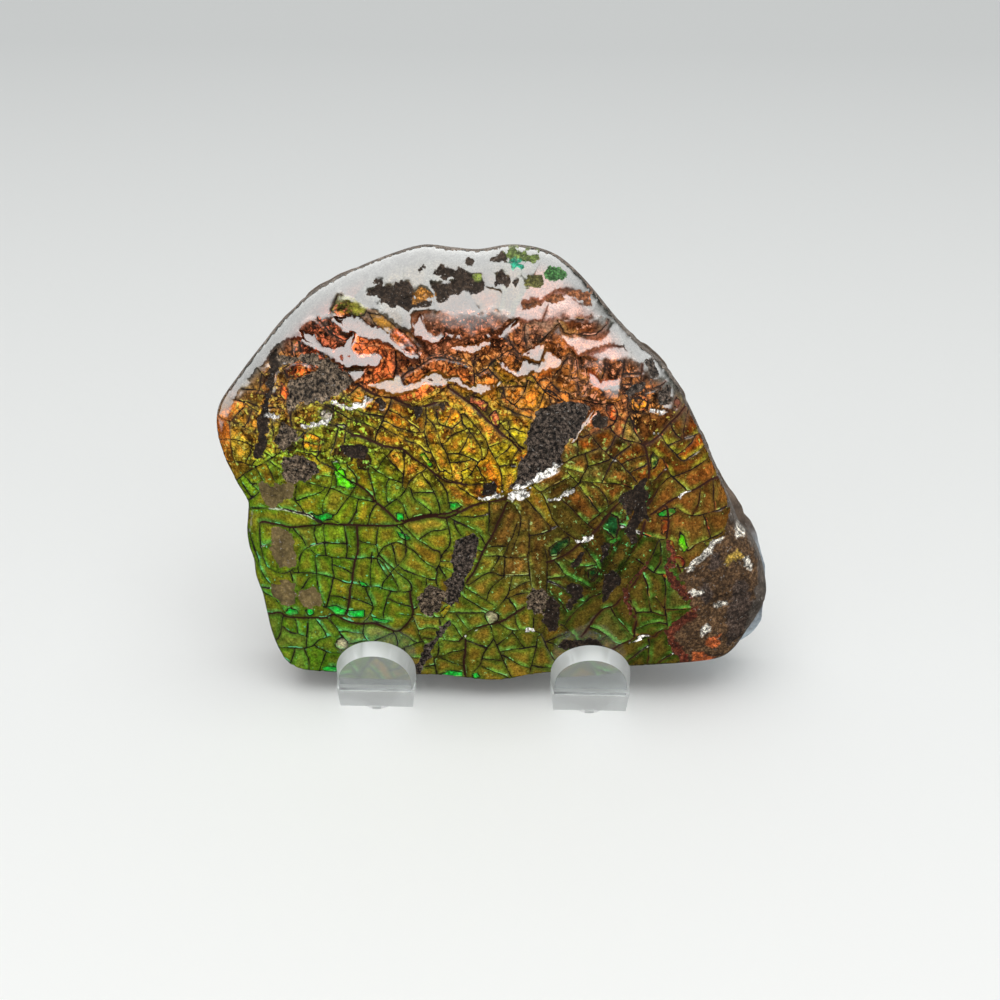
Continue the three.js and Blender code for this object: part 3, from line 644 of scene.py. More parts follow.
taken = {}
spacedOut(rimLoop, np.zeros(len(rimLoop)), taken)
seams.sort(key=lambda seam: -seam[1])
seamSpots = np.vstack([spots for spots, _, _ in seams])
seamAlong = np.vstack([np.gradient(spots, axis=0) for spots, _, _ in seams])
seamAlong /= np.hypot(*seamAlong.T)[:, None] + 1e-9
seamHalf = np.concatenate([np.full(len(spots), half) for spots, half, _ in seams])
seamDepth = np.concatenate([np.full(len(spots), depth) for spots, _, depth in seams])
sameSeam = np.concatenate([np.arange(len(spots)) > 0 for spots, _, _ in seams])
insideSpots = np.flatnonzero(inRim(seamSpots, 0.12))
keptSeam = insideSpots[spacedOut(seamSpots[insideSpots], np.full(len(insideSpots), 0.12), taken)]
centres, centreHalf, centreDepth = seamSpots[keptSeam], seamHalf[keptSeam], seamDepth[keptSeam]
centreTree = kdtree.KDTree(len(centres))
for index, spot in enumerate(centres):
    centreTree.insert((spot[0], spot[1], 0), index)
centreTree.balance()
closest = [centreTree.find((spot[0], spot[1], 0))[1:] for spot in seamSpots]
centreEdges = {tuple(sorted((closest[k - 1][0], closest[k][0]))) for k in range(1, len(seamSpots))
               if sameSeam[k] and max(closest[k - 1][1], closest[k][1]) < 0.2 and closest[k - 1][0] != closest[k][0]}
sides = np.stack([-seamAlong[keptSeam][:, 1], seamAlong[keptSeam][:, 0]], 1) * centreHalf[:, None]
shoulders = np.vstack([centres + sides, centres - sides])
shoulderHalf = np.concatenate([centreHalf, centreHalf])
clearOf = []
for spot, half in zip(shoulders, shoulderHalf):
    found, index, gap = centreTree.find((spot[0], spot[1], 0))
    clearOf.append(gap > 0.8 * min(half, centreHalf[index]) and gap > 0.75 * centreHalf[index])
shoulders, shoulderHalf = shoulders[clearOf], shoulderHalf[clearOf]
shoulders = shoulders[inRim(shoulders, 0.1)]
shoulders = shoulders[spacedOut(shoulders, np.full(len(shoulders), 0.08), taken)]
fieldStep = slab["faceSpacing"]
fieldDice = np.random.default_rng(7)
gridU, gridV = np.meshgrid(np.arange(-34, 37, fieldStep), np.arange(-4, 52, fieldStep * 0.87))
gridU = gridU + (np.arange(len(gridV)) % 2)[:, None] * fieldStep / 2
field = np.stack([gridU.ravel(), gridV.ravel()], 1) + fieldDice.uniform(-0.06, 0.06, (gridU.size, 2))
field = field[inRim(field, 0.15)]
field = field[spacedOut(field, np.full(len(field), fieldStep * 0.7), taken)]
print("points", len(rimLoop), len(centres), len(shoulders), len(field))

spots = np.vstack([rimLoop, centres, shoulders, field])
ringCount = len(rimLoop)
kind = np.concatenate([np.zeros(ringCount), np.ones(len(centres)), np.full(len(shoulders), 2), np.full(len(field), 3)])
ringEdges = [(i, (i + 1) % ringCount) for i in range(ringCount)]
innerEdges = [(a + ringCount, b + ringCount) for a, b in sorted(centreEdges)]
madeSpots, _, madeFaces, madeFrom, _, _ = delaunay_2d_cdt([Vector(s) for s in spots], ringEdges + innerEdges, [], 1, 1e-6)
faces = np.array([f for f in madeFaces if len(f) == 3])
spots = np.array([tuple(s) for s in madeSpots])
source = np.array([f[0] if f else -1 for f in madeFrom])
for index in np.flatnonzero(source < 0):  # where two seams cross between their samples
    source[index] = ringCount + centreTree.find((spots[index][0], spots[index][1], 0))[1]
kind = kind[source]
a, b, c = spots[faces[:, 0]], spots[faces[:, 1]], spots[faces[:, 2]]
area = (b[:, 0] - a[:, 0]) * (c[:, 1] - a[:, 1]) - (b[:, 1] - a[:, 1]) * (c[:, 0] - a[:, 0])
faces[area < 0] = faces[area < 0][:, ::-1]
print("face triangles", len(faces))

# cells are what the seams leave joined
edges = np.unique(np.sort(np.vstack([faces[:, [0, 1]], faces[:, [1, 2]], faces[:, [2, 0]]]), axis=1), axis=0)
isCentre = kind == 1
blocked = isCentre | (kind == 0)
plain = edges[~blocked[edges[:, 0]] & ~blocked[edges[:, 1]]]
label = np.arange(len(spots))
for _ in range(400):
    before = label.copy()
    low = np.minimum(label[plain[:, 0]], label[plain[:, 1]])
    np.minimum.at(label, plain[:, 0], low)
    np.minimum.at(label, plain[:, 1], low)
    label = label[label]
    if (label == before).all():
        break
label[blocked] = len(spots)
for first, second in ((0, 1), (1, 0)):  # the rim belongs to the cells beside it
    beside = edges[(kind[edges[:, first]] == 0) & ~blocked[edges[:, second]]]
    np.minimum.at(label, beside[:, first], label[beside[:, second]])
cellNames, cellOf = np.unique(label, return_inverse=True)
cellCount = len(cellNames)
size = np.bincount(cellOf, minlength=cellCount)
cellMiddle = np.stack([np.bincount(cellOf, spots[:, k], cellCount) / size for k in (0, 1)], 1)
print("cells", cellCount, "largest", sorted(size)[-5:])


def shareInside(outline):
    return np.bincount(cellOf, insidePath(spots, outline).astype(float), cellCount) / size > 0.5


dice = np.random.default_rng(19)
cellRandom = dice.uniform(0, 1, (cellCount, 8))


def valueNoise(points, scale, seed):
    table = np.random.default_rng(seed).uniform(-1, 1, (256, 256))
    p = points / scale + 100
    cell = np.floor(p).astype(int)
    t = p - cell
    t = t * t * (3 - 2 * t)
    pick = lambda i, j: table[(cell[:, 0] + i) % 256, (cell[:, 1] + j) % 256]
    return ((pick(0, 0) * (1 - t[:, 0]) + pick(1, 0) * t[:, 0]) * (1 - t[:, 1])
            + (pick(0, 1) * (1 - t[:, 0]) + pick(1, 1) * t[:, 0]) * t[:, 1])


# heights. Each cell is a facet with its own tilt; lit ones face up, the rest face the viewer
facets = {"litAngle": 52.0, "plainLimit": 36.0, "tiltSpread": 3.5, "offset": 0.03, "bareDrop": 0.18, "crownShare": 0.35}
base = faceHeight(spots)
slopeStep = 0.2
cellSlope = (faceHeight(cellMiddle + [0, slopeStep]) - faceHeight(cellMiddle - [0, slopeStep])) / (2 * slopeStep)
cellAngle = slab["lean"] + np.degrees(np.arctan(-cellSlope))
lit = np.zeros(cellCount, bool)
for outline in litOutlines.values():
    lit |= shareInside(outline)
ragged = spots + 0.3 * np.stack([valueNoise(spots, 0.6, 11), valueNoise(spots, 0.6, 12)], 1)
ragged += 0.35 * np.stack([valueNoise(spots, 1.7, 13), valueNoise(spots, 1.7, 14)], 1)
bareColour = np.tile(hexToLinear("#5a4838")[:3], (len(spots), 1))
glitter = np.full(len(spots), 0.35)  # how strongly its grains differ
bare = np.zeros(len(spots))
softSteps = [(0, 0), (0.16, 0.16), (-0.16, 0.16), (0.16, -0.16), (-0.16, -0.16)]
for code, outline in bareOutlines:
    near = (np.abs(spots - (outline.min(0) + outline.max(0)) / 2) < np.ptp(outline, axis=0) / 2 + 1.5).all(1)
    hit = np.mean([insidePath(ragged[near] + step, outline) for step in softSteps], axis=0)
    bare[near] = np.maximum(bare[near], hit)
    bareColour[np.flatnonzero(near)[hit > 0]] = hexToLinear(code)[:3]
    glitter[np.flatnonzero(near)[hit > 0]] = {"#3f362f": 1.0, "#584b3d": 1.0, "#75643f": 0.2, "#c4beb2": 0.9, "#574e46": 0.2}.get(code, 0.6)
# Painted highlights: the glint ledges picked here are painted near-white matt stone, standing in for glints of light.
silver = np.zeros(len(spots), bool)
for name in litNames:
    if name.startswith("silver") or name.endswith("Glint"):
        silver |= insidePath(ragged, litOutlines[name])
bare[silver], glitter[silver] = 1, 0.8
bareColour[silver] = hexToLinear("#f6f2ea")[:3]
target = np.where(lit, np.maximum(cellAngle + 1, facets["litAngle"]), np.minimum(cellAngle, facets["plainLimit"]))
target = target + (cellRandom[:, 0] - 0.5) * 2 * facets["tiltSpread"] * np.where(lit, 0.5, 1)
tiltV = -np.tan(np.radians(target - slab["lean"])) - cellSlope
tiltU = (cellRandom[:, 1] - 0.5) * 0.14
offset = (cellRandom[:, 2] - 0.5) * 2 * facets["offset"]
fromMiddle = spots - cellMiddle[cellOf]
fadeAtRim = smooth(0.2, 1.6, (rimReach(np.arctan2(*(spots - middle).T[::-1])) - np.hypot(*(spots - middle).T)))
relief = tiltV[cellOf] * fromMiddle[:, 1] + tiltU[cellOf] * fromMiddle[:, 0] + offset[cellOf]
relief = np.clip(relief, -0.6, 0.6)
inCrown = shareInside(litOutlines["crown"])[cellOf]
relief *= np.where(inCrown, facets["crownShare"], 1)
roughness = valueNoise(spots, 0.45, 3) * 0.06 + valueNoise(spots, 1.3, 4) * 0.1
relief = relief * (1 - 0.6 * bare) + bare * (roughness - facets["bareDrop"])
relief += 0.03 * valueNoise(spots, 1.5, 5) + 0.05 * valueNoise(spots, 5.5, 6) + 0.012 * valueNoise(spots, 0.7, 15)
centreSum = np.zeros(len(spots))
centreNear = np.zeros(len(spots))
for first, second in ((0, 1), (1, 0)):
    across = edges[isCentre[edges[:, first]] & ~isCentre[edges[:, second]]]
    np.add.at(centreSum, across[:, first], relief[across[:, second]])
    np.add.at(centreNear, across[:, first], 1)
depthAt = np.zeros(len(spots))
halfAt = np.zeros(len(spots))
fromCentre = source[isCentre] - ringCount
depthAt[isCentre] = centreDepth[fromCentre]
halfAt[isCentre] = centreHalf[fromCentre]
litAround = centreSum * 0
for first, second in ((0, 1), (1, 0)):
    across = edges[isCentre[edges[:, first]] & ~isCentre[edges[:, second]]]
    np.add.at(litAround, across[:, first], lit[cellOf[across[:, second]]])
litAround = np.where(isCentre, litAround / np.maximum(centreNear, 1), lit[cellOf])
sealed = (1 - bare) * (1 - 0.75 * smooth(0.5, 0.9, litAround))
relief[isCentre] = (centreSum / np.maximum(centreNear, 1) - depthAt * sealed)[isCentre]
height = base + relief * fadeAtRim
print("relief", round(float(relief.min()), 2), round(float(relief.max()), 2))

# colours of the face
zoneSpots = onFace([zone[1] for zone in shellZones])
zoneReach = np.array([zone[2] for zone in shellZones]) / 8.0  # about 8 frame units to a millimetre
zoneColours = np.array([[hexToLinear(zone[k])[:3] for k in (3, 4, 5)] + [(zone[6],) * 3] for zone in shellZones])


def zoneMix(points, sharpness=2.2):
    gap = np.hypot(points[:, None, 0] - zoneSpots[None, :, 0], points[:, None, 1] - zoneSpots[None, :, 1])
    weight = np.exp(-sharpness * (gap / zoneReach) ** 2) + 1e-9
    weight /= weight.sum(1)[:, None]
    return np.einsum("pz,zkc->pkc", weight, zoneColours)


shellGlow = {"gain": 1.5, "cellSpread": 0.36, "middleReach": 0.9}
calm = smooth(28, 20, cellMiddle[:, 1])  # the lower cells differ less from each other
cellPalette = zoneMix(cellMiddle + (cellRandom[:, 3:5] - 0.5) * 4)
cellLift = np.exp((cellRandom[:, 6] - 0.5) * 2 * shellGlow["cellSpread"] * (1 - 0.4 * calm))
cellTint = np.full((cellCount, 3), -1.0)
odd, oddness = cellRandom[:, 3], (1 - 0.7 * calm)[:, None, None]  # some cells turn dark, warm or green
dark, warm, fresh = odd < 0.12, odd > 0.86, (odd > 0.12) & (odd < 0.2)
cellPalette[dark, :2] *= 1 - 0.6 * oddness[dark]
cellPalette[warm, :2] *= 1 + np.array([0.4, -0.15, -0.4]) * oddness[warm]
cellPalette[fresh, :2] += 0.07 * (cellPalette[fresh, 2:3] - cellPalette[fresh, :2]) * oddness[fresh]
for code, outline in tintOutlines:
    cellTint[shareInside(outline)] = hexToLinear(code)[:3]
crackSpots, crackHalves = centres[centreDepth > 0], centreHalf[centreDepth > 0]
crackTree = kdtree.KDTree(len(crackSpots))
for index, spot in enumerate(crackSpots):
    crackTree.insert((spot[0], spot[1], 0), index)
crackTree.balance()
gap, crackHalf, crackWay = np.zeros(len(spots)), np.zeros(len(spots)), np.zeros((len(spots), 2))
for index, spot in enumerate(spots):
    found, place, gap[index] = crackTree.find((spot[0], spot[1], 0))
    crackHalf[index] = crackHalves[place]
    crackWay[index] = (found[0] - spot[0], found[1] - spot[1])
crackWay /= np.hypot(*crackWay.T)[:, None] + 1e-9
middleness = smooth(0.2, shellGlow["middleReach"], gap + 0.25 * valueNoise(spots, 0.8, 9))
share = np.clip(0.9 * middleness + 0.7 * (cellRandom[cellOf, 5] - 0.5) + 0.35 * valueNoise(spots, 2.2, 8), 0, 1)[:, None]
local = zoneMix(spots)
mixed = 0.75 * cellPalette[cellOf] + 0.25 * local
colour = mixed[:, 0] * (1 - share) + mixed[:, 1] * share
tinted = cellTint[cellOf, 0] >= 0
colour = colour * cellLift[cellOf][:, None]
colour[tinted] = cellTint[cellOf][tinted] * (0.75 + 0.5 * middleness[tinted])[:, None]
colour *= shellGlow["gain"]
# Painted highlight: where a crack runs just below or left of a point, the cell's rim is brightened toward the zone's
# flash colour.
glow = smooth(0.2, 0.8, -crackWay[:, 1] * 0.9 - crackWay[:, 0] * 0.35) * (1 - smooth(0.15, 0.75, gap))
glow *= (0.75 - 0.1 * calm[cellOf]) * smooth(-0.1, 0.3, valueNoise(spots, 1.7, 10) + 0.4 * (cellRandom[cellOf, 7] - 0.5)) * (1 - inCrown)
colour += (local[:, 2] * np.array([0.75, 0.7, 0.3]) - colour) * glow[:, None]
# Painted highlight: 'lower' marks the side of a crack where bright lips of the shell's flash colour are painted in the
# shader.
lower = smooth(0.25, 0.8, -crackWay[:, 1] * 0.9 - crackWay[:, 0] * 0.35) * (1 - inCrown)
spark, busy = local[:, 2], local[:, 3, 0] * np.where(inCrown, 0.2, 1)
toRim = rimReach(np.arctan2(*(spots - middle).T[::-1])) - np.hypot(*(spots - middle).T)
paintedRimSheen = ((1 - smooth(0.8, 2.8, toRim)) * smooth(30, 36, spots[:, 1]))[:, None]  # painted reflection: near the upper rim the shell colour turns grey where the curved coat reflects the light
colour += (np.array(hexToLinear("#5e5e58")[:3]) - colour) * paintedRimSheen
busy = busy * (1 - paintedRimSheen[:, 0])
busy *= np.where(lit[cellOf], 0.1, 1)
shine = lit[cellOf] * (1 - inCrown) * (1 - paintedRimSheen[:, 0])
dull = (1 - litAround) * (1 - inCrown) * smooth(27, 31, spots[:, 1]) * (1 - smooth(0.15, 0.45, gap))  # where one facet steps down to the next
# Painted shade: the ledges that catch the light get a darker copy of their colour.
colour *= np.where(lit[cellOf], 0.55, 1)[:, None]
colourSum = np.zeros((len(spots), 3))
for first, second in ((0, 1), (1, 0)):
    across = edges[isCentre[edges[:, first]] & ~isCentre[edges[:, second]]]
    np.add.at(colourSum, across[:, first], colour[across[:, second]])
colour[isCentre] = (colourSum / np.maximum(centreNear, 1)[:, None])[isCentre]
gap = np.minimum(gap + 0.5 * (1 - sealed), 1.5)
wide = smooth(0.15, 0.22, crackHalf)

# side wall and back
ring = np.arange(ringCount)
assert (source[:ringCount] == ring).all()
ringSpots, ringHeight = spots[:ringCount], height[:ringCount]
ringAngle = np.arctan2(*(ringSpots - middle).T[::-1])
tangent = np.roll(ringSpots, -1, axis=0) - np.roll(ringSpots, 1, axis=0)
tangent /= np.hypot(*tangent.T)[:, None]
underside = smooth(0.55, 0.9, tangent[:, 0]) * (np.sin(ringAngle) < 0)
seat = slab["seatLevel"] - slab["undersideSag"] * (1 - smooth(3, 8, np.abs(ringSpots[:, 0])))
faceLevel = slabPoint(ringSpots, ringHeight)[:, 2]
foot = np.minimum(slab["backBevel"], ringHeight * 0.6)


def wallRow(along):
    w = ringHeight * (1 - along) + foot * along
    part = smooth(0, 0.7, along)
    level = faceLevel * (1 - part) + seat * part
    levelV = (level - slabFoot[2] - w * math.sin(lean)) / math.cos(lean)
    v = ringSpots[:, 1] * (1 - underside) + levelV * underside
    return np.stack([ringSpots[:, 0], v], 1), w


rimEdge = 1 - smooth(0.05, 0.22 + 0.2 * smooth(5, 20, spots[:, 0]), toRim)
bareColour += (np.array(hexToLinear("#625c56")[:3]) - bareColour) * rimEdge[:, None]
bare = np.maximum(bare, rimEdge)
points = [slabPoint(spots, height)]
layers = {"shellTint": [colour], "stoneTint": [bareColour], "sparkTint": [spark],
          "gap": [gap], "wide": [wide], "lower": [lower], "shine": [shine], "dull": [dull], "bare": [bare], "busy": [busy],
          "glitter": [glitter]}
allFaces = [faces]
count = len(spots)
previous = ring
wallColour = np.array(hexToLinear("#5a4d42")[:3])
bevelSheenColour = np.array(hexToLinear("#a4aeb6")[:3])  # painted reflection: a pale bluish sheen on the ground bevel along the lower right of the back edge


def addStone(tints):  # bare stone: the wall and the back
    count = len(tints)
    for name in ("shellTint", "stoneTint", "sparkTint"):
        layers[name].append(tints)
    for name in ("wide", "lower", "shine", "dull", "busy", "glitter"):
        layers[name].append(np.zeros(count))
    for name in ("gap", "bare"):
        layers[name].append(np.ones(count))


for row in range(1, slab["wallRows"] + 1):
    along = row / slab["wallRows"]
    flat, w = wallRow(along)
    chip = np.stack([ringAngle * 24, np.full(ringCount, along * 9)], 1)
    dent = 0.18 * (1 + valueNoise(chip, 1.1, 21)) + 0.14 * (1 + valueNoise(chip, 3.1, 22))
    dent *= smooth(0, 0.25, along) * (1 - 0.8 * smooth(0.5, 0.9, underside))
    arm = flat - middle
    flare = 2.3 * (1 - underside) * np.exp(-((ringAngle + 0.55) / 0.16) ** 2) + 1.2 * np.exp(-((ringAngle + 0.2) / 0.09) ** 2)
    dent -= flare * smooth(0.1, 0.5, along)
    flat = flat - arm / np.hypot(*arm.T)[:, None] * dent[:, None]
    flat[:, 0] = np.minimum(flat[:, 0], max(rimOutline)[0] - 0.2)  # no further out than the rim's rightmost point
    points.append(slabPoint(flat, w))
    # Painted reflection: the ground bevel's strip of the wall takes the pale bluish sheen colour.
    polished = smooth(0.24, 0.3, along) * smooth(-0.9, -0.75, ringAngle) * smooth(-0.22, -0.36, ringAngle)
    addStone(wallColour + (bevelSheenColour - wallColour) * polished[:, None])
    here = count + ring
    follow = np.roll(ring, -1)
    allFaces.append(np.stack([previous, here, here[follow]], 1))
    allFaces.append(np.stack([previous, here[follow], previous[follow]], 1))
    previous = here
    count += ringCount
backArm = flat - middle
backLoop = middle + backArm * (1 - slab["backBevel"] / np.hypot(*backArm.T))[:, None]
backStep = slab["backSpacing"]
gridU, gridV = np.meshgrid(np.arange(-34, 37, backStep), np.arange(-4, 52, backStep * 0.87))
gridU = gridU + (np.arange(len(gridV)) % 2)[:, None] * backStep / 2
backField = np.stack([gridU.ravel(), gridV.ravel()], 1) + fieldDice.uniform(-0.12, 0.12, (gridU.size, 2))
backField = backField[insidePath(backField, backLoop)]
backField = backField[distances(backField, backLoop) > 0.4]
backSpots = np.vstack([backLoop, backField])
madeSpots, _, madeFaces, madeFrom, _, _ = delaunay_2d_cdt([Vector(s) for s in backSpots], ringEdges, [], 1, 1e-6)
backSpots = np.array([tuple(s) for s in madeSpots])
backSource = np.array([f[0] if f else -1 for f in madeFrom])
backFaces = np.array([f for f in madeFaces if len(f) == 3])
a, b, c = backSpots[backFaces[:, 0]], backSpots[backFaces[:, 1]], backSpots[backFaces[:, 2]]
area = (b[:, 0] - a[:, 0]) * (c[:, 1] - a[:, 1]) - (b[:, 1] - a[:, 1]) * (c[:, 0] - a[:, 0])
backFaces[area > 0] = backFaces[area > 0][:, ::-1]
u, v = backSpots[:, 0], backSpots[:, 1]
backHeight = (0.25 + 0.25 * np.sin(0.21 * u + 0.09 * v) * np.cos(0.17 * v - 0.11 * u)
              + 0.35 * smooth(-0.5, 0.5, v - 30 - 0.35 * u) + 0.3 * smooth(-0.5, 0.5, 9 - v + 0.25 * u)
              + 0.08 * valueNoise(backSpots, 2.3, 31) + 0.05 * valueNoise(backSpots, 0.9, 32))
backHeight = np.maximum(backHeight, 0) * smooth(0, 3, distances(backSpots, backLoop))
points.append(slabPoint(backSpots, backHeight))
addStone(np.tile(wallColour * 0.9, (len(backSpots), 1)))
backRing = count + ring
allFaces.append(backFaces + count)
follow = np.roll(ring, -1)
allFaces.append(np.stack([previous, backRing, backRing[follow]], 1))
allFaces.append(np.stack([previous, backRing[follow], previous[follow]], 1))

vertices = inFrame(np.vstack(points))
slabFaces = np.vstack(allFaces)
print("slab vertices", len(vertices), "triangles", len(slabFaces))
slabMesh = bpy.data.meshes.new("ammoliteSlab")
slabMesh.from_pydata([tuple(v) for v in vertices], [], [tuple(int(i) for i in f) for f in slabFaces])
slabMesh.validate()
slabMesh.shade_smooth()
for name, parts in layers.items():
    values = np.concatenate(parts).astype(np.float32)
    if values.ndim == 2:
        layer = slabMesh.color_attributes.new(name, "FLOAT_COLOR", "POINT")
        layer.data.foreach_set("color", np.hstack([values, np.ones((len(values), 1), np.float32)]).ravel())
    else:
        layer = slabMesh.attributes.new(name, "FLOAT", "POINT")
        layer.data.foreach_set("value", values)
slabObject = bpy.data.objects.new("ammoliteSlab", slabMesh)
bpy.context.scene.collection.objects.link(slabObject)

# Ammolite: the polished iridescent shell of an ammonite under a clear coat, over matt brown shale
shell = bpy.data.materials.new("polishedAmmolite")
shell.use_nodes = True
tree = shell.node_tree
tree.nodes.clear()
place = addNode(tree, "ShaderNodeTexCoord", {})
read = {name: addNode(tree, "ShaderNodeAttribute", {}, attribute_name=name) for name in layers}
amount = {name: node.outputs["Fac"] for name, node in read.items()}
tint = {name: node.outputs["Color"] for name, node in read.items()}


grains = {  # size of the largest grains in mm, detail, roughness, then how the noise is stretched
    "clouds": (0.9, 4.0, 0.6, 0.3, 0.7, 0.5, 1.55),
    "specks": (0.25, 3.0, 0.75, 0.32, 0.68, 0.4, 1.7),
    "sparks": (0.6, 4.0, 0.65, 0.0, 1.0, -0.1, 0.9),
    "clumps": (1.5, 4.0, 0.65, 0.42, 0.6, 0.13, 2.4),
    "blots": (1.9, 4.0, 0.7, 0.57, 0.61, 0.0, 0.9),
    "pits": (0.7, 5.0, 0.7, 0.39, 0.44, 1.0, 0.0),
    "fray": (0.4, 3.0, 0.6, 0.0, 1.0, -0.14, 0.14),
    "haze": (1.8, 4.0, 0.65, 0.4, 0.6, 0.15, 0.85),
    "lipRuns": (1.3, 3.0, 0.6, 0.55, 0.62, 0.0, 1.0),
    "rust": (3.5, 2.0, 0.5, 0.5, 0.55, 0.0, 1.0),
    "thin": (1.6, 3.0, 0.6, 0.4, 0.6, 0.005, 0.065),
    "holes": (1.7, 4.0, 0.6, 0.64, 0.67, 0.0, 1.0),
    "stone": (0.42, 4.0, 0.8, 0.38, 0.64, 0.0, 2.1),
    "shales": (1.8, 4.0, 0.65, 0.34, 0.66, 0.45, 1.45),
    "glints": (0.5, 4.0, 0.8, 0.63, 0.66, 0.0, 0.8),
    "bareFray": (0.5, 4.0, 0.65, 0.3, 0.7, -0.3, 0.3),
}
grain = {}
for name, (size, detail, roughness, low, high, start, end) in grains.items():
    noise = addNode(tree, "ShaderNodeTexNoise", {
        "Vector": place.outputs["Object"], "Scale": 1 / (size * mm), "Detail": detail, "Roughness": roughness})
    grain[name] = addNode(tree, "ShaderNodeMapRange", {"Value": noise.outputs["Fac"], 1: low, 2: high, 3: start, 4: end}).outputs[0]
bend = addNode(tree, "ShaderNodeTexNoise", {"Vector": place.outputs["Object"], "Scale": 1 / (1.3 * mm), "Detail": 2.0})
bent = addNode(tree, "ShaderNodeVectorMath", {0: bend.outputs["Color"], 1: (0.0009,) * 3, 2: place.outputs["Object"]},
               operation="MULTIPLY_ADD")
crackle = addNode(tree, "ShaderNodeTexVoronoi", {"Vector": bent.outputs[0], "Scale": 1 / (1.15 * mm)},
                  feature="DISTANCE_TO_EDGE")
frayedGap = addNode(tree, "ShaderNodeMath", {0: amount["gap"], 1: grain["fray"]}, operation="ADD").outputs[0]
crackSide = addNode(tree, "ShaderNodeMapRange", {"Value": amount["wide"], 3: grain["thin"], 4: 0.1}).outputs[0]
hazeSide = addNode(tree, "ShaderNodeMapRange", {"Value": amount["wide"], 3: 0.3, 4: 0.55}).outputs[0]
pastCrack = addNode(tree, "ShaderNodeMath", {0: frayedGap, 1: crackSide}, operation="SUBTRACT").outputs[0]
sparkPlace = addNode(tree, "ShaderNodeMath", {0: amount["busy"], 1: 0.23, 2: grain["sparks"]}, operation="MULTIPLY_ADD").outputs[0]
bareEdge = addNode(tree, "ShaderNodeMath", {0: amount["bare"], 1: grain["bareFray"]}, operation="ADD").outputs[0]
stretches = {  # value, from low and high, to start and end
    "crack": (pastCrack, 0.0, 0.05, 1.0, 0.0),
    "nearCrack": (frayedGap, 0.08, hazeSide, 1.0, 0.0),
    "inCell": (amount["gap"], 0.3, 0.5, 0.0, 1.0),
    "darker": (amount["busy"], 0.5, 0.9, 0.0, 1.0),
    "hazeShare": (amount["wide"], 0.0, 1.0, grain["haze"], 0.85),
    "lipIn": (pastCrack, 0.0, 0.04, 0.0, 1.0),
    "lipOut": (pastCrack, 0.12, 0.2, 1.0, 0.0),
    "clumpy": (amount["busy"], 0.4, 1.0, 1.0, grain["clumps"]),
    "sparkHere": (sparkPlace, 0.655, 0.71, 0.0, 1.0),
    "fineCrack": (crackle.outputs["Distance"], 0.03, 0.09, 0.85, 0.0),
    "bareHere": (bareEdge, 0.44, 0.54, 0.0, 1.0),
}
stretched = {name: addNode(tree, "ShaderNodeMapRange", {"Value": value, 1: low, 2: high, 3: start, 4: end}).outputs[0]
             for name, (value, low, high, start, end) in stretches.items()}
products = {
    "haze": (stretched["nearCrack"], stretched["hazeShare"]),
    "blots": (grain["blots"], stretched["inCell"], stretched["darker"]),
    "lipHere": (stretched["lipIn"], stretched["lipOut"], grain["lipRuns"], amount["lower"]),
    "fineCracks": (stretched["fineCrack"], amount["busy"], amount["busy"]),
    "pits": (grain["pits"], amount["busy"]),
    "holes": (grain["holes"], amount["shine"]),
    "mottle": (grain["clouds"], grain["specks"], stretched["clumpy"]),
    "grit": (grain["stone"], grain["stone"]),
}
product = {}
for name, parts in products.items():
    product[name] = parts[0]
    for part in parts[1:]:
        product[name] = addNode(tree, "ShaderNodeMath", {0: product[name], 1: part}, operation="MULTIPLY").outputs[0]
grit = addNode(tree, "ShaderNodeMapRange", {"Value": amount["glitter"], 3: 1.0, 4: product["grit"]}).outputs[0]
stoneLight = addNode(tree, "ShaderNodeMath", {0: grit, 1: grain["shales"]}, operation="MULTIPLY").outputs[0]
mottled = addNode(tree, "ShaderNodeVectorMath", {0: tint["shellTint"], "Scale": product["mottle"]}, operation="SCALE").outputs[0]
stone = addNode(tree, "ShaderNodeVectorMath", {0: tint["stoneTint"], "Scale": stoneLight}, operation="SCALE").outputs[0]
holeTint = addNode(tree, "ShaderNodeMix", {
    0: grain["lipRuns"], 6: hexToLinear("#34180e"), 7: hexToLinear("#9a4424")}, data_type="RGBA").outputs[2]
split = addNode(tree, "ShaderNodeSeparateXYZ", {0: place.outputs["Object"]})
eastern = addNode(tree, "ShaderNodeMapRange", {"Value": split.outputs["X"], 1: 0.0, 2: 0.018}).outputs[0]
hazeTint = addNode(tree, "ShaderNodeMix", {0: eastern, 6: hexToLinear("#4e3e20"), 7: hexToLinear("#783a1e")}, data_type="RGBA").outputs[2]
hazeTint = addNode(tree, "ShaderNodeMix", {0: amount["busy"], 6: hazeTint, 7: hexToLinear("#2a170d")}, data_type="RGBA").outputs[2]
# Painted highlight: the lips turn orange towards the east, in patches.
eastLipOrange = addNode(tree, "ShaderNodeMath", {0: eastern, 1: grain["rust"]}, operation="MULTIPLY").outputs[0]
lipTint = addNode(tree, "ShaderNodeMix", {0: eastLipOrange, 6: tint["sparkTint"], 7: hexToLinear("#f07040")}, data_type="RGBA").outputs[2]
seamTint = addNode(tree, "ShaderNodeMix", {
    0: amount["wide"], 6: hexToLinear("#160d07"), 7: hexToLinear("#34180c")}, data_type="RGBA").outputs[2]
coats = [  # how much, colour; each over the ones before
    (stretched["sparkHere"], tint["sparkTint"]),
    (product["fineCracks"], hexToLinear("#26120a")),
    (product["pits"], hexToLinear("#1c120a")),
    (product["blots"], hexToLinear("#2a190e")),
    (product["holes"], holeTint),
    (product["haze"], hazeTint),
    (product["lipHere"], lipTint),
    (stretched["crack"], seamTint),
]
over = mottled
for share, colour in coats:
    over = addNode(tree, "ShaderNodeMix", {0: share, 6: over, 7: colour}, data_type="RGBA").outputs[2]
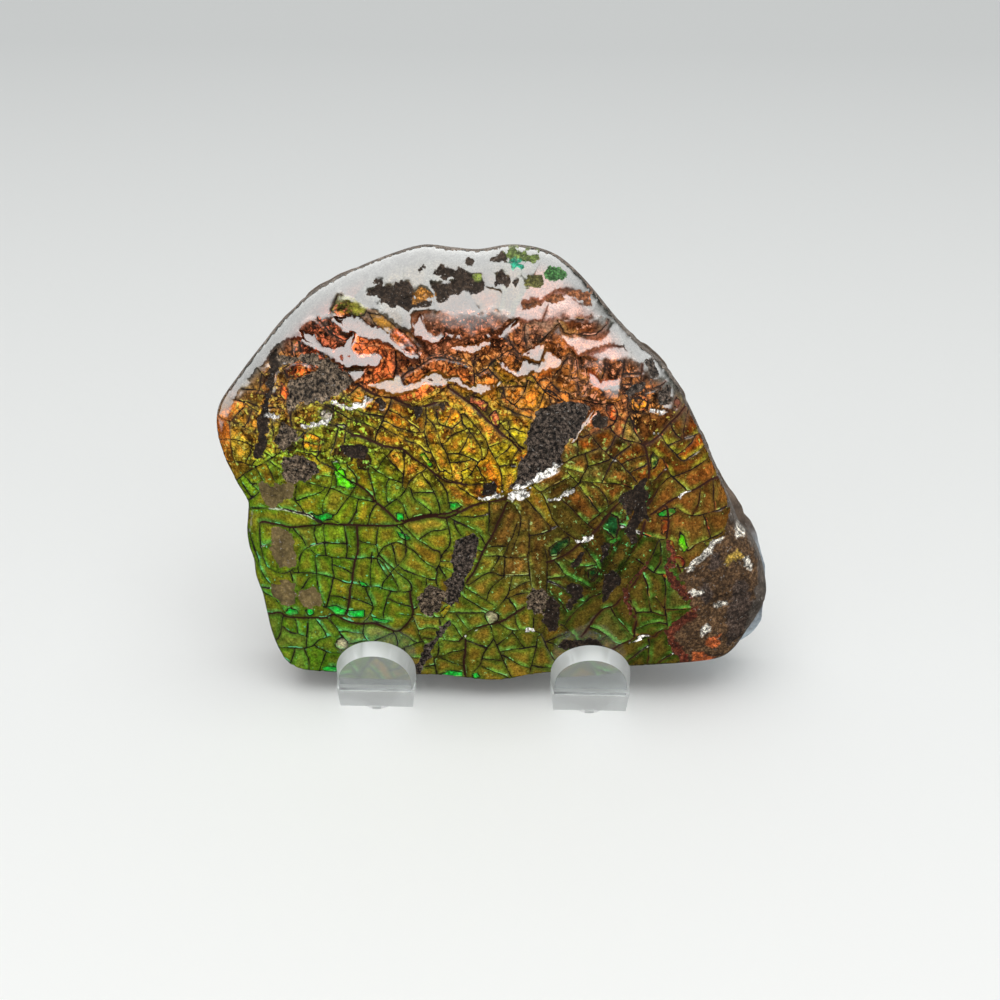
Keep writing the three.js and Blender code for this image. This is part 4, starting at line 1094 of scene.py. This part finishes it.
# Painted highlights: light grey specks mixed into the bare stone stand in for glints of light.
stone = addNode(tree, "ShaderNodeMix", {0: grain["glints"], 6: stone, 7: hexToLinear("#a9a29a")}, data_type="RGBA").outputs[2]
finish = addNode(tree, "ShaderNodeMix", {0: stretched["bareHere"], 6: over, 7: stone}, data_type="RGBA").outputs[2]
matt = stretched["bareHere"]
for other in (stretched["crack"], product["holes"], amount["dull"]):
    matt = addNode(tree, "ShaderNodeMath", {0: matt, 1: other}, operation="MAXIMUM").outputs[0]
bumpShare = addNode(tree, "ShaderNodeMapRange", {"Value": stretched["bareHere"], 3: 0.1, 4: 0.9}).outputs[0]
normal = None
for size, detail, share in ((0.25, 3.0, bumpShare), (1.1, 3.0, 0.35)):
    noise = addNode(tree, "ShaderNodeTexNoise", {"Vector": place.outputs["Object"], "Scale": 1 / (size * mm), "Detail": detail})
    normal = addNode(tree, "ShaderNodeBump", {"Height": noise.outputs["Fac"], "Strength": share, "Distance": 0.0001,
                                              **({"Normal": normal} if normal else {})}).outputs["Normal"]
roughness = addNode(tree, "ShaderNodeMapRange", {"Value": matt, 3: 0.22, 4: 0.75}).outputs[0]
coatShare = addNode(tree, "ShaderNodeMapRange", {"Value": matt, 3: 1.0, 4: 0.0}).outputs[0]
surface = addNode(tree, "ShaderNodeBsdfPrincipled", {
    "Base Color": finish, "Roughness": roughness, "IOR": 1.55, "Coat Weight": coatShare, "Coat Roughness": 0.04,
    "Coat IOR": 1.6, "Specular IOR Level": 0.08, "Normal": normal})
addNode(tree, "ShaderNodeOutputMaterial", {"Surface": surface.outputs[0]})
slabMesh.materials.append(shell)
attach(slabObject, "root")
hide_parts("ammolite")
print("slab made")

# The stand: a clear sheet folded over at the top, with two ledges that end in half-round tabs
stand = {
    "spacing": 27.0,
    "tabBack": 10.0, "tabFront": 9.1, "tabThick": 2.2, "springing": 5.1, "tabFoot": 3.4,
    "ledgeTop": 2.8, "ledgeUnder": 0.35, "ledgeWidth": 9.9, "ledgeUnderWidth": 9.2, "frontRecess": 0.35,
    "nub": 4.2, "nubBack": 2.25,
    "sheet": 2.6, "height": 39.0, "baseWidth": 37.0, "baseStraight": 3.0, "topWidth": 25.0, "corner": 4.0,
    "legDepth": 46.0, "bendRadius": 1.6,
    "notchWidth": 17.0, "notchHeight": 6.0, "notchCorner": 2.5,
    "seatGap": 0.3, "edge": 0.22,
}


def panelFront(level):  # depth of the panel's front at a level
    return slabFoot[1] + stand["seatGap"] / math.cos(lean) + (level - slabFoot[2]) * math.tan(lean)


def takePoints(test):  # in edit mode, selects the points where test(x, y, z) holds, in mm
    bpy.ops.mesh.select_mode(type="VERT")
    bpy.ops.mesh.select_all(action="DESELECT")
    bpy.ops.object.mode_set(mode="OBJECT")
    piece = bpy.context.object
    for point in piece.data.vertices:
        point.select = bool(test(*((piece.matrix_world @ point.co - origin) / mm)))
    bpy.ops.object.mode_set(mode="EDIT")
    bpy.ops.mesh.select_mode(type="VERT")


def finishEdit(name):
    bpy.ops.mesh.select_all(action="SELECT")
    bpy.ops.mesh.remove_doubles(threshold=1e-6)
    bpy.ops.mesh.normals_make_consistent(inside=False)
    bpy.ops.object.mode_set(mode="OBJECT")
    bpy.ops.object.transform_apply(location=True, rotation=True, scale=True)
    bpy.context.object.name = name
    return bpy.context.object


def box(low, high, name, underWidth=None):
    low, high = np.array(low, float), np.array(high, float)
    bpy.ops.mesh.primitive_cube_add(size=1, location=inFrame((low + high) / 2), scale=(high - low) * mm)
    bpy.ops.object.mode_set(mode="EDIT")
    if underWidth:
        takePoints(lambda x, y, z: z < (low[2] + high[2]) / 2)
        bpy.ops.transform.resize(value=(underWidth / (high[0] - low[0]), 1, 1))
    return finishEdit(name)


def combine(piece, other, how):
    joined = piece.modifiers.new("join", "BOOLEAN")
    joined.operation = how
    joined.solver = "EXACT"
    joined.object = other
    bpy.ops.object.select_all(action="DESELECT")
    bpy.context.view_layer.objects.active = piece
    piece.select_set(True)
    bpy.ops.object.modifier_apply(modifier=joined.name)
    bpy.data.objects.remove(other)
    return piece


def tabArch():
    springing = stand["springing"]
    bpy.ops.mesh.primitive_cylinder_add(
        vertices=96, radius=stand["tabBack"] / 2 * mm, depth=stand["tabThick"] * mm,
        location=inFrame((0, stand["tabThick"] / 2, springing)), rotation=(math.pi / 2, 0, 0))
    bpy.ops.object.mode_set(mode="EDIT")
    bpy.ops.mesh.select_all(action="SELECT")
    bpy.ops.mesh.bisect(plane_co=inFrame((0, 0, springing)), plane_no=(0, 0, 1), use_fill=True, clear_inner=True)
    takePoints(lambda x, y, z: z < springing + 0.01)
    bpy.ops.mesh.extrude_region_move(
        TRANSFORM_OT_translate={"value": (0, 0, (stand["tabFoot"] - springing) * mm)})
    taper = stand["tabFront"] / stand["tabBack"]
    takePoints(lambda x, y, z: y < 0.01)
    bpy.ops.transform.resize(value=(taper, 1, 1), center_override=inFrame((0, 0, springing)))
    takePoints(lambda x, y, z: y < 0.01 and z > springing)
    bpy.ops.transform.resize(value=(1, 1, taper), center_override=inFrame((0, 0, springing)))
    return finishEdit("tabArch")


def prong():
    half = stand["ledgeWidth"] / 2
    back = panelFront(stand["ledgeTop"]) + stand["sheet"] / 2
    piece = box((-half, stand["tabThick"] / 2, stand["ledgeUnder"]), (half, back, stand["ledgeTop"]), "prong",
                stand["ledgeUnderWidth"])
    front = box((-half, stand["frontRecess"], stand["ledgeUnder"]), (half, stand["tabThick"], stand["tabFoot"] + 0.1),
                "front", stand["ledgeUnderWidth"])
    nubHeight = stand["ledgeUnder"] + 0.1
    bpy.ops.mesh.primitive_cylinder_add(
        vertices=48, radius=stand["nub"] / 2 * mm, depth=nubHeight * mm,
        location=inFrame((0, stand["nubBack"], nubHeight / 2)))
    bpy.ops.object.mode_set(mode="EDIT")
    nub = finishEdit("nub")
    for other in (front, tabArch(), nub):
        combine(piece, other, "UNION")
    return piece


def foldedSheet():
    outer = stand["bendRadius"] + stand["sheet"]
    bendLevel = stand["height"] - outer
    bendDepth = panelFront(bendLevel) + outer / math.cos(lean)
    legLean = math.atan2(stand["legDepth"] - stand["sheet"] - bendDepth, bendLevel)
    footStart = np.array([0, panelFront(stand["ledgeUnder"]), stand["ledgeUnder"]])
    across = np.array([0, math.cos(lean), -math.sin(lean)])
    bendStart = np.array([0, bendDepth, bendLevel]) - across * outer
    run = bendStart - footStart
    bpy.ops.mesh.primitive_plane_add(size=1, location=inFrame(footStart + across * stand["sheet"] / 2),
                                     rotation=(-lean, 0, 0))
    bpy.ops.object.mode_set(mode="EDIT")
    bpy.ops.mesh.select_all(action="SELECT")
    bpy.ops.transform.resize(value=(stand["baseWidth"] * mm, stand["sheet"] * mm, stand["sheet"] * mm))
    bpy.ops.mesh.extrude_region_move(TRANSFORM_OT_translate={"value": run * mm})
    bpy.ops.mesh.spin(steps=20, angle=math.pi - lean - legLean, center=inFrame((0, bendDepth, bendLevel)), axis=(1, 0, 0))
    legRun = np.array([0, math.sin(legLean), -math.cos(legLean)]) * (bendLevel / math.cos(legLean) + 3)
    bpy.ops.mesh.extrude_region_move(TRANSFORM_OT_translate={"value": legRun * mm})
    bpy.ops.mesh.select_all(action="SELECT")
    bpy.ops.mesh.bisect(plane_co=inFrame((0, 0, 0)), plane_no=(0, 0, 1), use_fill=True, clear_inner=True)
    return finishEdit("foldedSheet")


def roundedTop(piece, level, radius):  # rounds the two edges along the depth at this level
    bpy.ops.object.mode_set(mode="EDIT")
    takePoints(lambda x, y, z: z > level - 0.01)
    bpy.ops.mesh.select_mode(type="EDGE")
    bpy.ops.object.mode_set(mode="OBJECT")
    corners = piece.data.vertices
    for edge in piece.data.edges:
        start, end = (corners[i].co for i in edge.vertices)
        edge.select = edge.select and abs(start.x - end.x) < 1e-5
    for face in piece.data.polygons:
        face.select = False
    bpy.ops.object.mode_set(mode="EDIT")
    bpy.ops.mesh.bevel(offset=radius * mm, segments=8, affect="EDGES")
    return finishEdit(piece.name)


def frontOutline():
    half, depth = stand["baseWidth"] / 2 + 0.02, stand["legDepth"] + 10
    bpy.ops.mesh.primitive_cube_add(size=1, location=inFrame((0, depth / 2, stand["baseStraight"] / 2 - 0.5)),
                                    scale=np.array((half * 2, depth, stand["baseStraight"] + 1)) * mm)
    bpy.ops.object.mode_set(mode="EDIT")
    takePoints(lambda x, y, z: z > stand["baseStraight"] / 2)
    rise = stand["height"] + 0.1 - stand["baseStraight"]
    bpy.ops.mesh.extrude_region_move(TRANSFORM_OT_translate={"value": (0, 0, rise * mm)})
    bpy.ops.transform.resize(value=(stand["topWidth"] / stand["baseWidth"], 1, 1))
    return roundedTop(finishEdit("frontOutline"), stand["height"] + 0.1, stand["corner"])


sheetPiece = combine(foldedSheet(), frontOutline(), "INTERSECT")
half = stand["notchWidth"] / 2
notch = box((-half, -1, -2), (half, stand["legDepth"] + 9, stand["notchHeight"]), "notch")
combine(sheetPiece, roundedTop(notch, stand["notchHeight"], stand["notchCorner"]), "DIFFERENCE")
for side in (-1, 1):
    piece = prong()
    bpy.ops.object.select_all(action="DESELECT")
    piece.select_set(True)
    bpy.context.view_layer.objects.active = piece
    bpy.ops.transform.translate(value=(side * stand["spacing"] / 2 * mm, 0, 0))
    bpy.ops.object.transform_apply(location=True, rotation=False, scale=False)
    combine(sheetPiece, piece, "UNION")
sheetPiece.name = "acrylicStand"
sheetPiece.data.name = "acrylicStand"
softEdge = sheetPiece.modifiers.new("softEdge", "BEVEL")
softEdge.width = stand["edge"] * mm
softEdge.segments = 3
softEdge.limit_method = "ANGLE"
softEdge.angle_limit = math.radians(40)
bpy.ops.object.modifier_apply(modifier=softEdge.name)
bpy.ops.object.shade_smooth_by_angle(angle=math.radians(35))

# Cast acrylic: water clear inside, a little hazy on its moulded faces
acrylic = bpy.data.materials.new("castAcrylic")
acrylic.use_nodes = True
tree = acrylic.node_tree
tree.nodes.clear()
place = addNode(tree, "ShaderNodeTexCoord", {})
noise = addNode(tree, "ShaderNodeTexNoise", {"Vector": place.outputs["Object"], "Scale": 1 / (1.5 * mm)})
roughness = addNode(tree, "ShaderNodeMapRange", {"Value": noise.outputs["Fac"], 1: 0.3, 2: 0.7, 3: 0.04, 4: 0.22})
clear = addNode(tree, "ShaderNodeBsdfPrincipled", {
    "Base Color": hexToLinear("#eef1f1"), "Roughness": roughness.outputs[0], "IOR": 1.49, "Transmission Weight": 0.82})
addNode(tree, "ShaderNodeOutputMaterial", {"Surface": clear.outputs[0]})
# The same where it was sawn or ground: frosted, so it looks white. The chamfers are near-opaque white: a painted
# highlight along the edges.
frostings = {"sawnAcrylic": ("#c2c5c4", 0.4), "groundAcrylic": ("#dfe1e0", 0.35), "chamferHighlightAcrylic": ("#ffffff", 0.1)}
sheetPiece.data.materials.clear()
sheetPiece.data.materials.append(acrylic)
for name, (code, clearness) in frostings.items():
    frosted = bpy.data.materials.new(name)
    frosted.use_nodes = True
    tree = frosted.node_tree
    tree.nodes.clear()
    place = addNode(tree, "ShaderNodeTexCoord", {})
    noise = addNode(tree, "ShaderNodeTexNoise", {"Vector": place.outputs["Object"], "Scale": 1 / (0.6 * mm)})
    roughness = addNode(tree, "ShaderNodeMapRange", {"Value": noise.outputs["Fac"], 1: 0.3, 2: 0.7, 3: 0.35, 4: 0.55})
    rough = addNode(tree, "ShaderNodeBsdfPrincipled", {
        "Base Color": hexToLinear(code), "Roughness": roughness.outputs[0], "IOR": 1.49, "Transmission Weight": clearness})
    addNode(tree, "ShaderNodeOutputMaterial", {"Surface": rough.outputs[0]})
    sheetPiece.data.materials.append(frosted)
for face in sheetPiece.data.polygons:
    spot = (face.center - origin) / mm
    onTab = spot.z > stand["tabFoot"] + 0.05
    inFront = spot.y < stand["tabThick"] + 0.3
    # Slanted faces in front are the chamfers, painted near-white as a highlight.
    slanted = 0.3 < abs(face.normal.y) < 0.97
    flat = abs(face.normal.y) > 0.97
    if inFront and not (onTab and flat):
        face.material_index = 3 if slanted else 1 if onTab else 2
sheetPiece.visible_shadow = False  # clear plastic lets the light through
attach(sheetPiece, "root")
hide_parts("display_stand")
print("stand made")

# floor and light
# Painted shade: the paper's colour darkens from near to far, standing in for the light falling off towards the back.
floorSetup = {"size": 1.6, "near": "#f4f5f3", "far": "#c8cac9"}
bpy.ops.mesh.primitive_plane_add(size=floorSetup["size"], location=(0, 0, 0))
floor = bpy.context.object
floor.name = "paperFloor"
paper = bpy.data.materials.new("whitePaper")
paper.use_nodes = True
tree = paper.node_tree
tree.nodes.clear()
place = addNode(tree, "ShaderNodeTexCoord", {})
split = addNode(tree, "ShaderNodeSeparateXYZ", {0: place.outputs["Object"]})
along = addNode(tree, "ShaderNodeMapRange", {"Value": split.outputs["Y"], 1: -0.07, 2: 0.17})
shade = addNode(tree, "ShaderNodeMix", {
    0: along.outputs[0], 6: hexToLinear(floorSetup["near"]), 7: hexToLinear(floorSetup["far"])}, data_type="RGBA")
sheet = addNode(tree, "ShaderNodeBsdfPrincipled", {"Base Color": shade.outputs[2], "Roughness": 0.9, "Specular IOR Level": 0.0})
addNode(tree, "ShaderNodeOutputMaterial", {"Surface": sheet.outputs[0]})
floor.data.materials.append(paper)
floor.visible_glossy = False

lights = {
    "room": 0.6,
    "overheadPower": 2.0,
    "domeRadius": 0.8,
    "domeTop": 8.5,  # radiance straight above, seen by polished faces only
    "domeSide": 2.4,
}
world = bpy.data.worlds.new("studio")
bpy.context.scene.world = world
world.use_nodes = True
world.node_tree.nodes["Background"].inputs[0].default_value = hexToLinear("#fdfeff")
world.node_tree.nodes["Background"].inputs[1].default_value = lights["room"]
world.cycles_visibility.glossy = False


def addLamp(name, place, aim, size, power, **visible):
    lampData = bpy.data.lights.new(name, "AREA")
    lampData.shape = "RECTANGLE"
    lampData.size, lampData.size_y = size
    lampData.energy = power
    lamp = bpy.data.objects.new(name, lampData)
    bpy.context.scene.collection.objects.link(lamp)
    lamp.location = place
    lamp.rotation_euler = (Vector(aim) - Vector(place)).to_track_quat("-Z", "Y").to_euler()
    for key, value in visible.items():
        setattr(lamp, key, value)
    return lamp


def cardRadiance(size, radiance):  # watts that give a card this radiance
    return radiance * math.pi * size[0] * size[1]


softSize = (0.7, 0.5)
addLamp("overheadSoftbox", (0, 0.02, 0.6), (0, 0.02, 0), softSize, cardRadiance(softSize, lights["overheadPower"]),
        visible_glossy=False)
# White tent: bright above and dimmer at the sides and behind, open towards the viewer
bpy.ops.mesh.primitive_uv_sphere_add(segments=48, ring_count=24, radius=lights["domeRadius"], location=(0, 0, 0))
tent = bpy.context.object
tent.name = "whiteTent"
cloth = bpy.data.materials.new("litTentCloth")
cloth.use_nodes = True
tree = cloth.node_tree
tree.nodes.clear()
place = addNode(tree, "ShaderNodeTexCoord", {})
ray = addNode(tree, "ShaderNodeVectorMath", {0: place.outputs["Object"]}, operation="NORMALIZE")
split = addNode(tree, "ShaderNodeSeparateXYZ", {0: ray.outputs[0]})
aside = addNode(tree, "ShaderNodeMath", {0: split.outputs["X"], 1: 4.0}, operation="POWER").outputs[0]
behind = addNode(tree, "ShaderNodeMath", {0: split.outputs["Y"], 1: 0.3, 2: split.outputs["Z"]}, operation="MULTIPLY_ADD")
sideShare = addNode(tree, "ShaderNodeMapRange", {"Value": split.outputs["X"], 1: -0.2, 2: 0.2, 3: 0.9, 4: 0.1}).outputs[0]
around = addNode(tree, "ShaderNodeMath", {0: aside, 1: sideShare, 2: behind.outputs[0]}, operation="MULTIPLY_ADD")
bright = addNode(tree, "ShaderNodeMapRange", {
    "Value": split.outputs["Z"], 1: 0.0, 2: 0.85, 3: lights["domeSide"], 4: lights["domeTop"]})
lit = addNode(tree, "ShaderNodeMapRange", {"Value": around.outputs[0], 1: 0.48, 2: 0.66})
strength = addNode(tree, "ShaderNodeMath", {0: bright.outputs[0], 1: lit.outputs[0]}, operation="MULTIPLY")
glow = addNode(tree, "ShaderNodeEmission", {"Color": hexToLinear("#fdfefd"), "Strength": strength.outputs[0]})
addNode(tree, "ShaderNodeOutputMaterial", {"Surface": glow.outputs[0]})
tent.data.materials.append(cloth)
for way in ("camera", "diffuse", "transmission", "shadow", "volume_scatter"):
    setattr(tent, "visible_" + way, False)
print("studio lit")
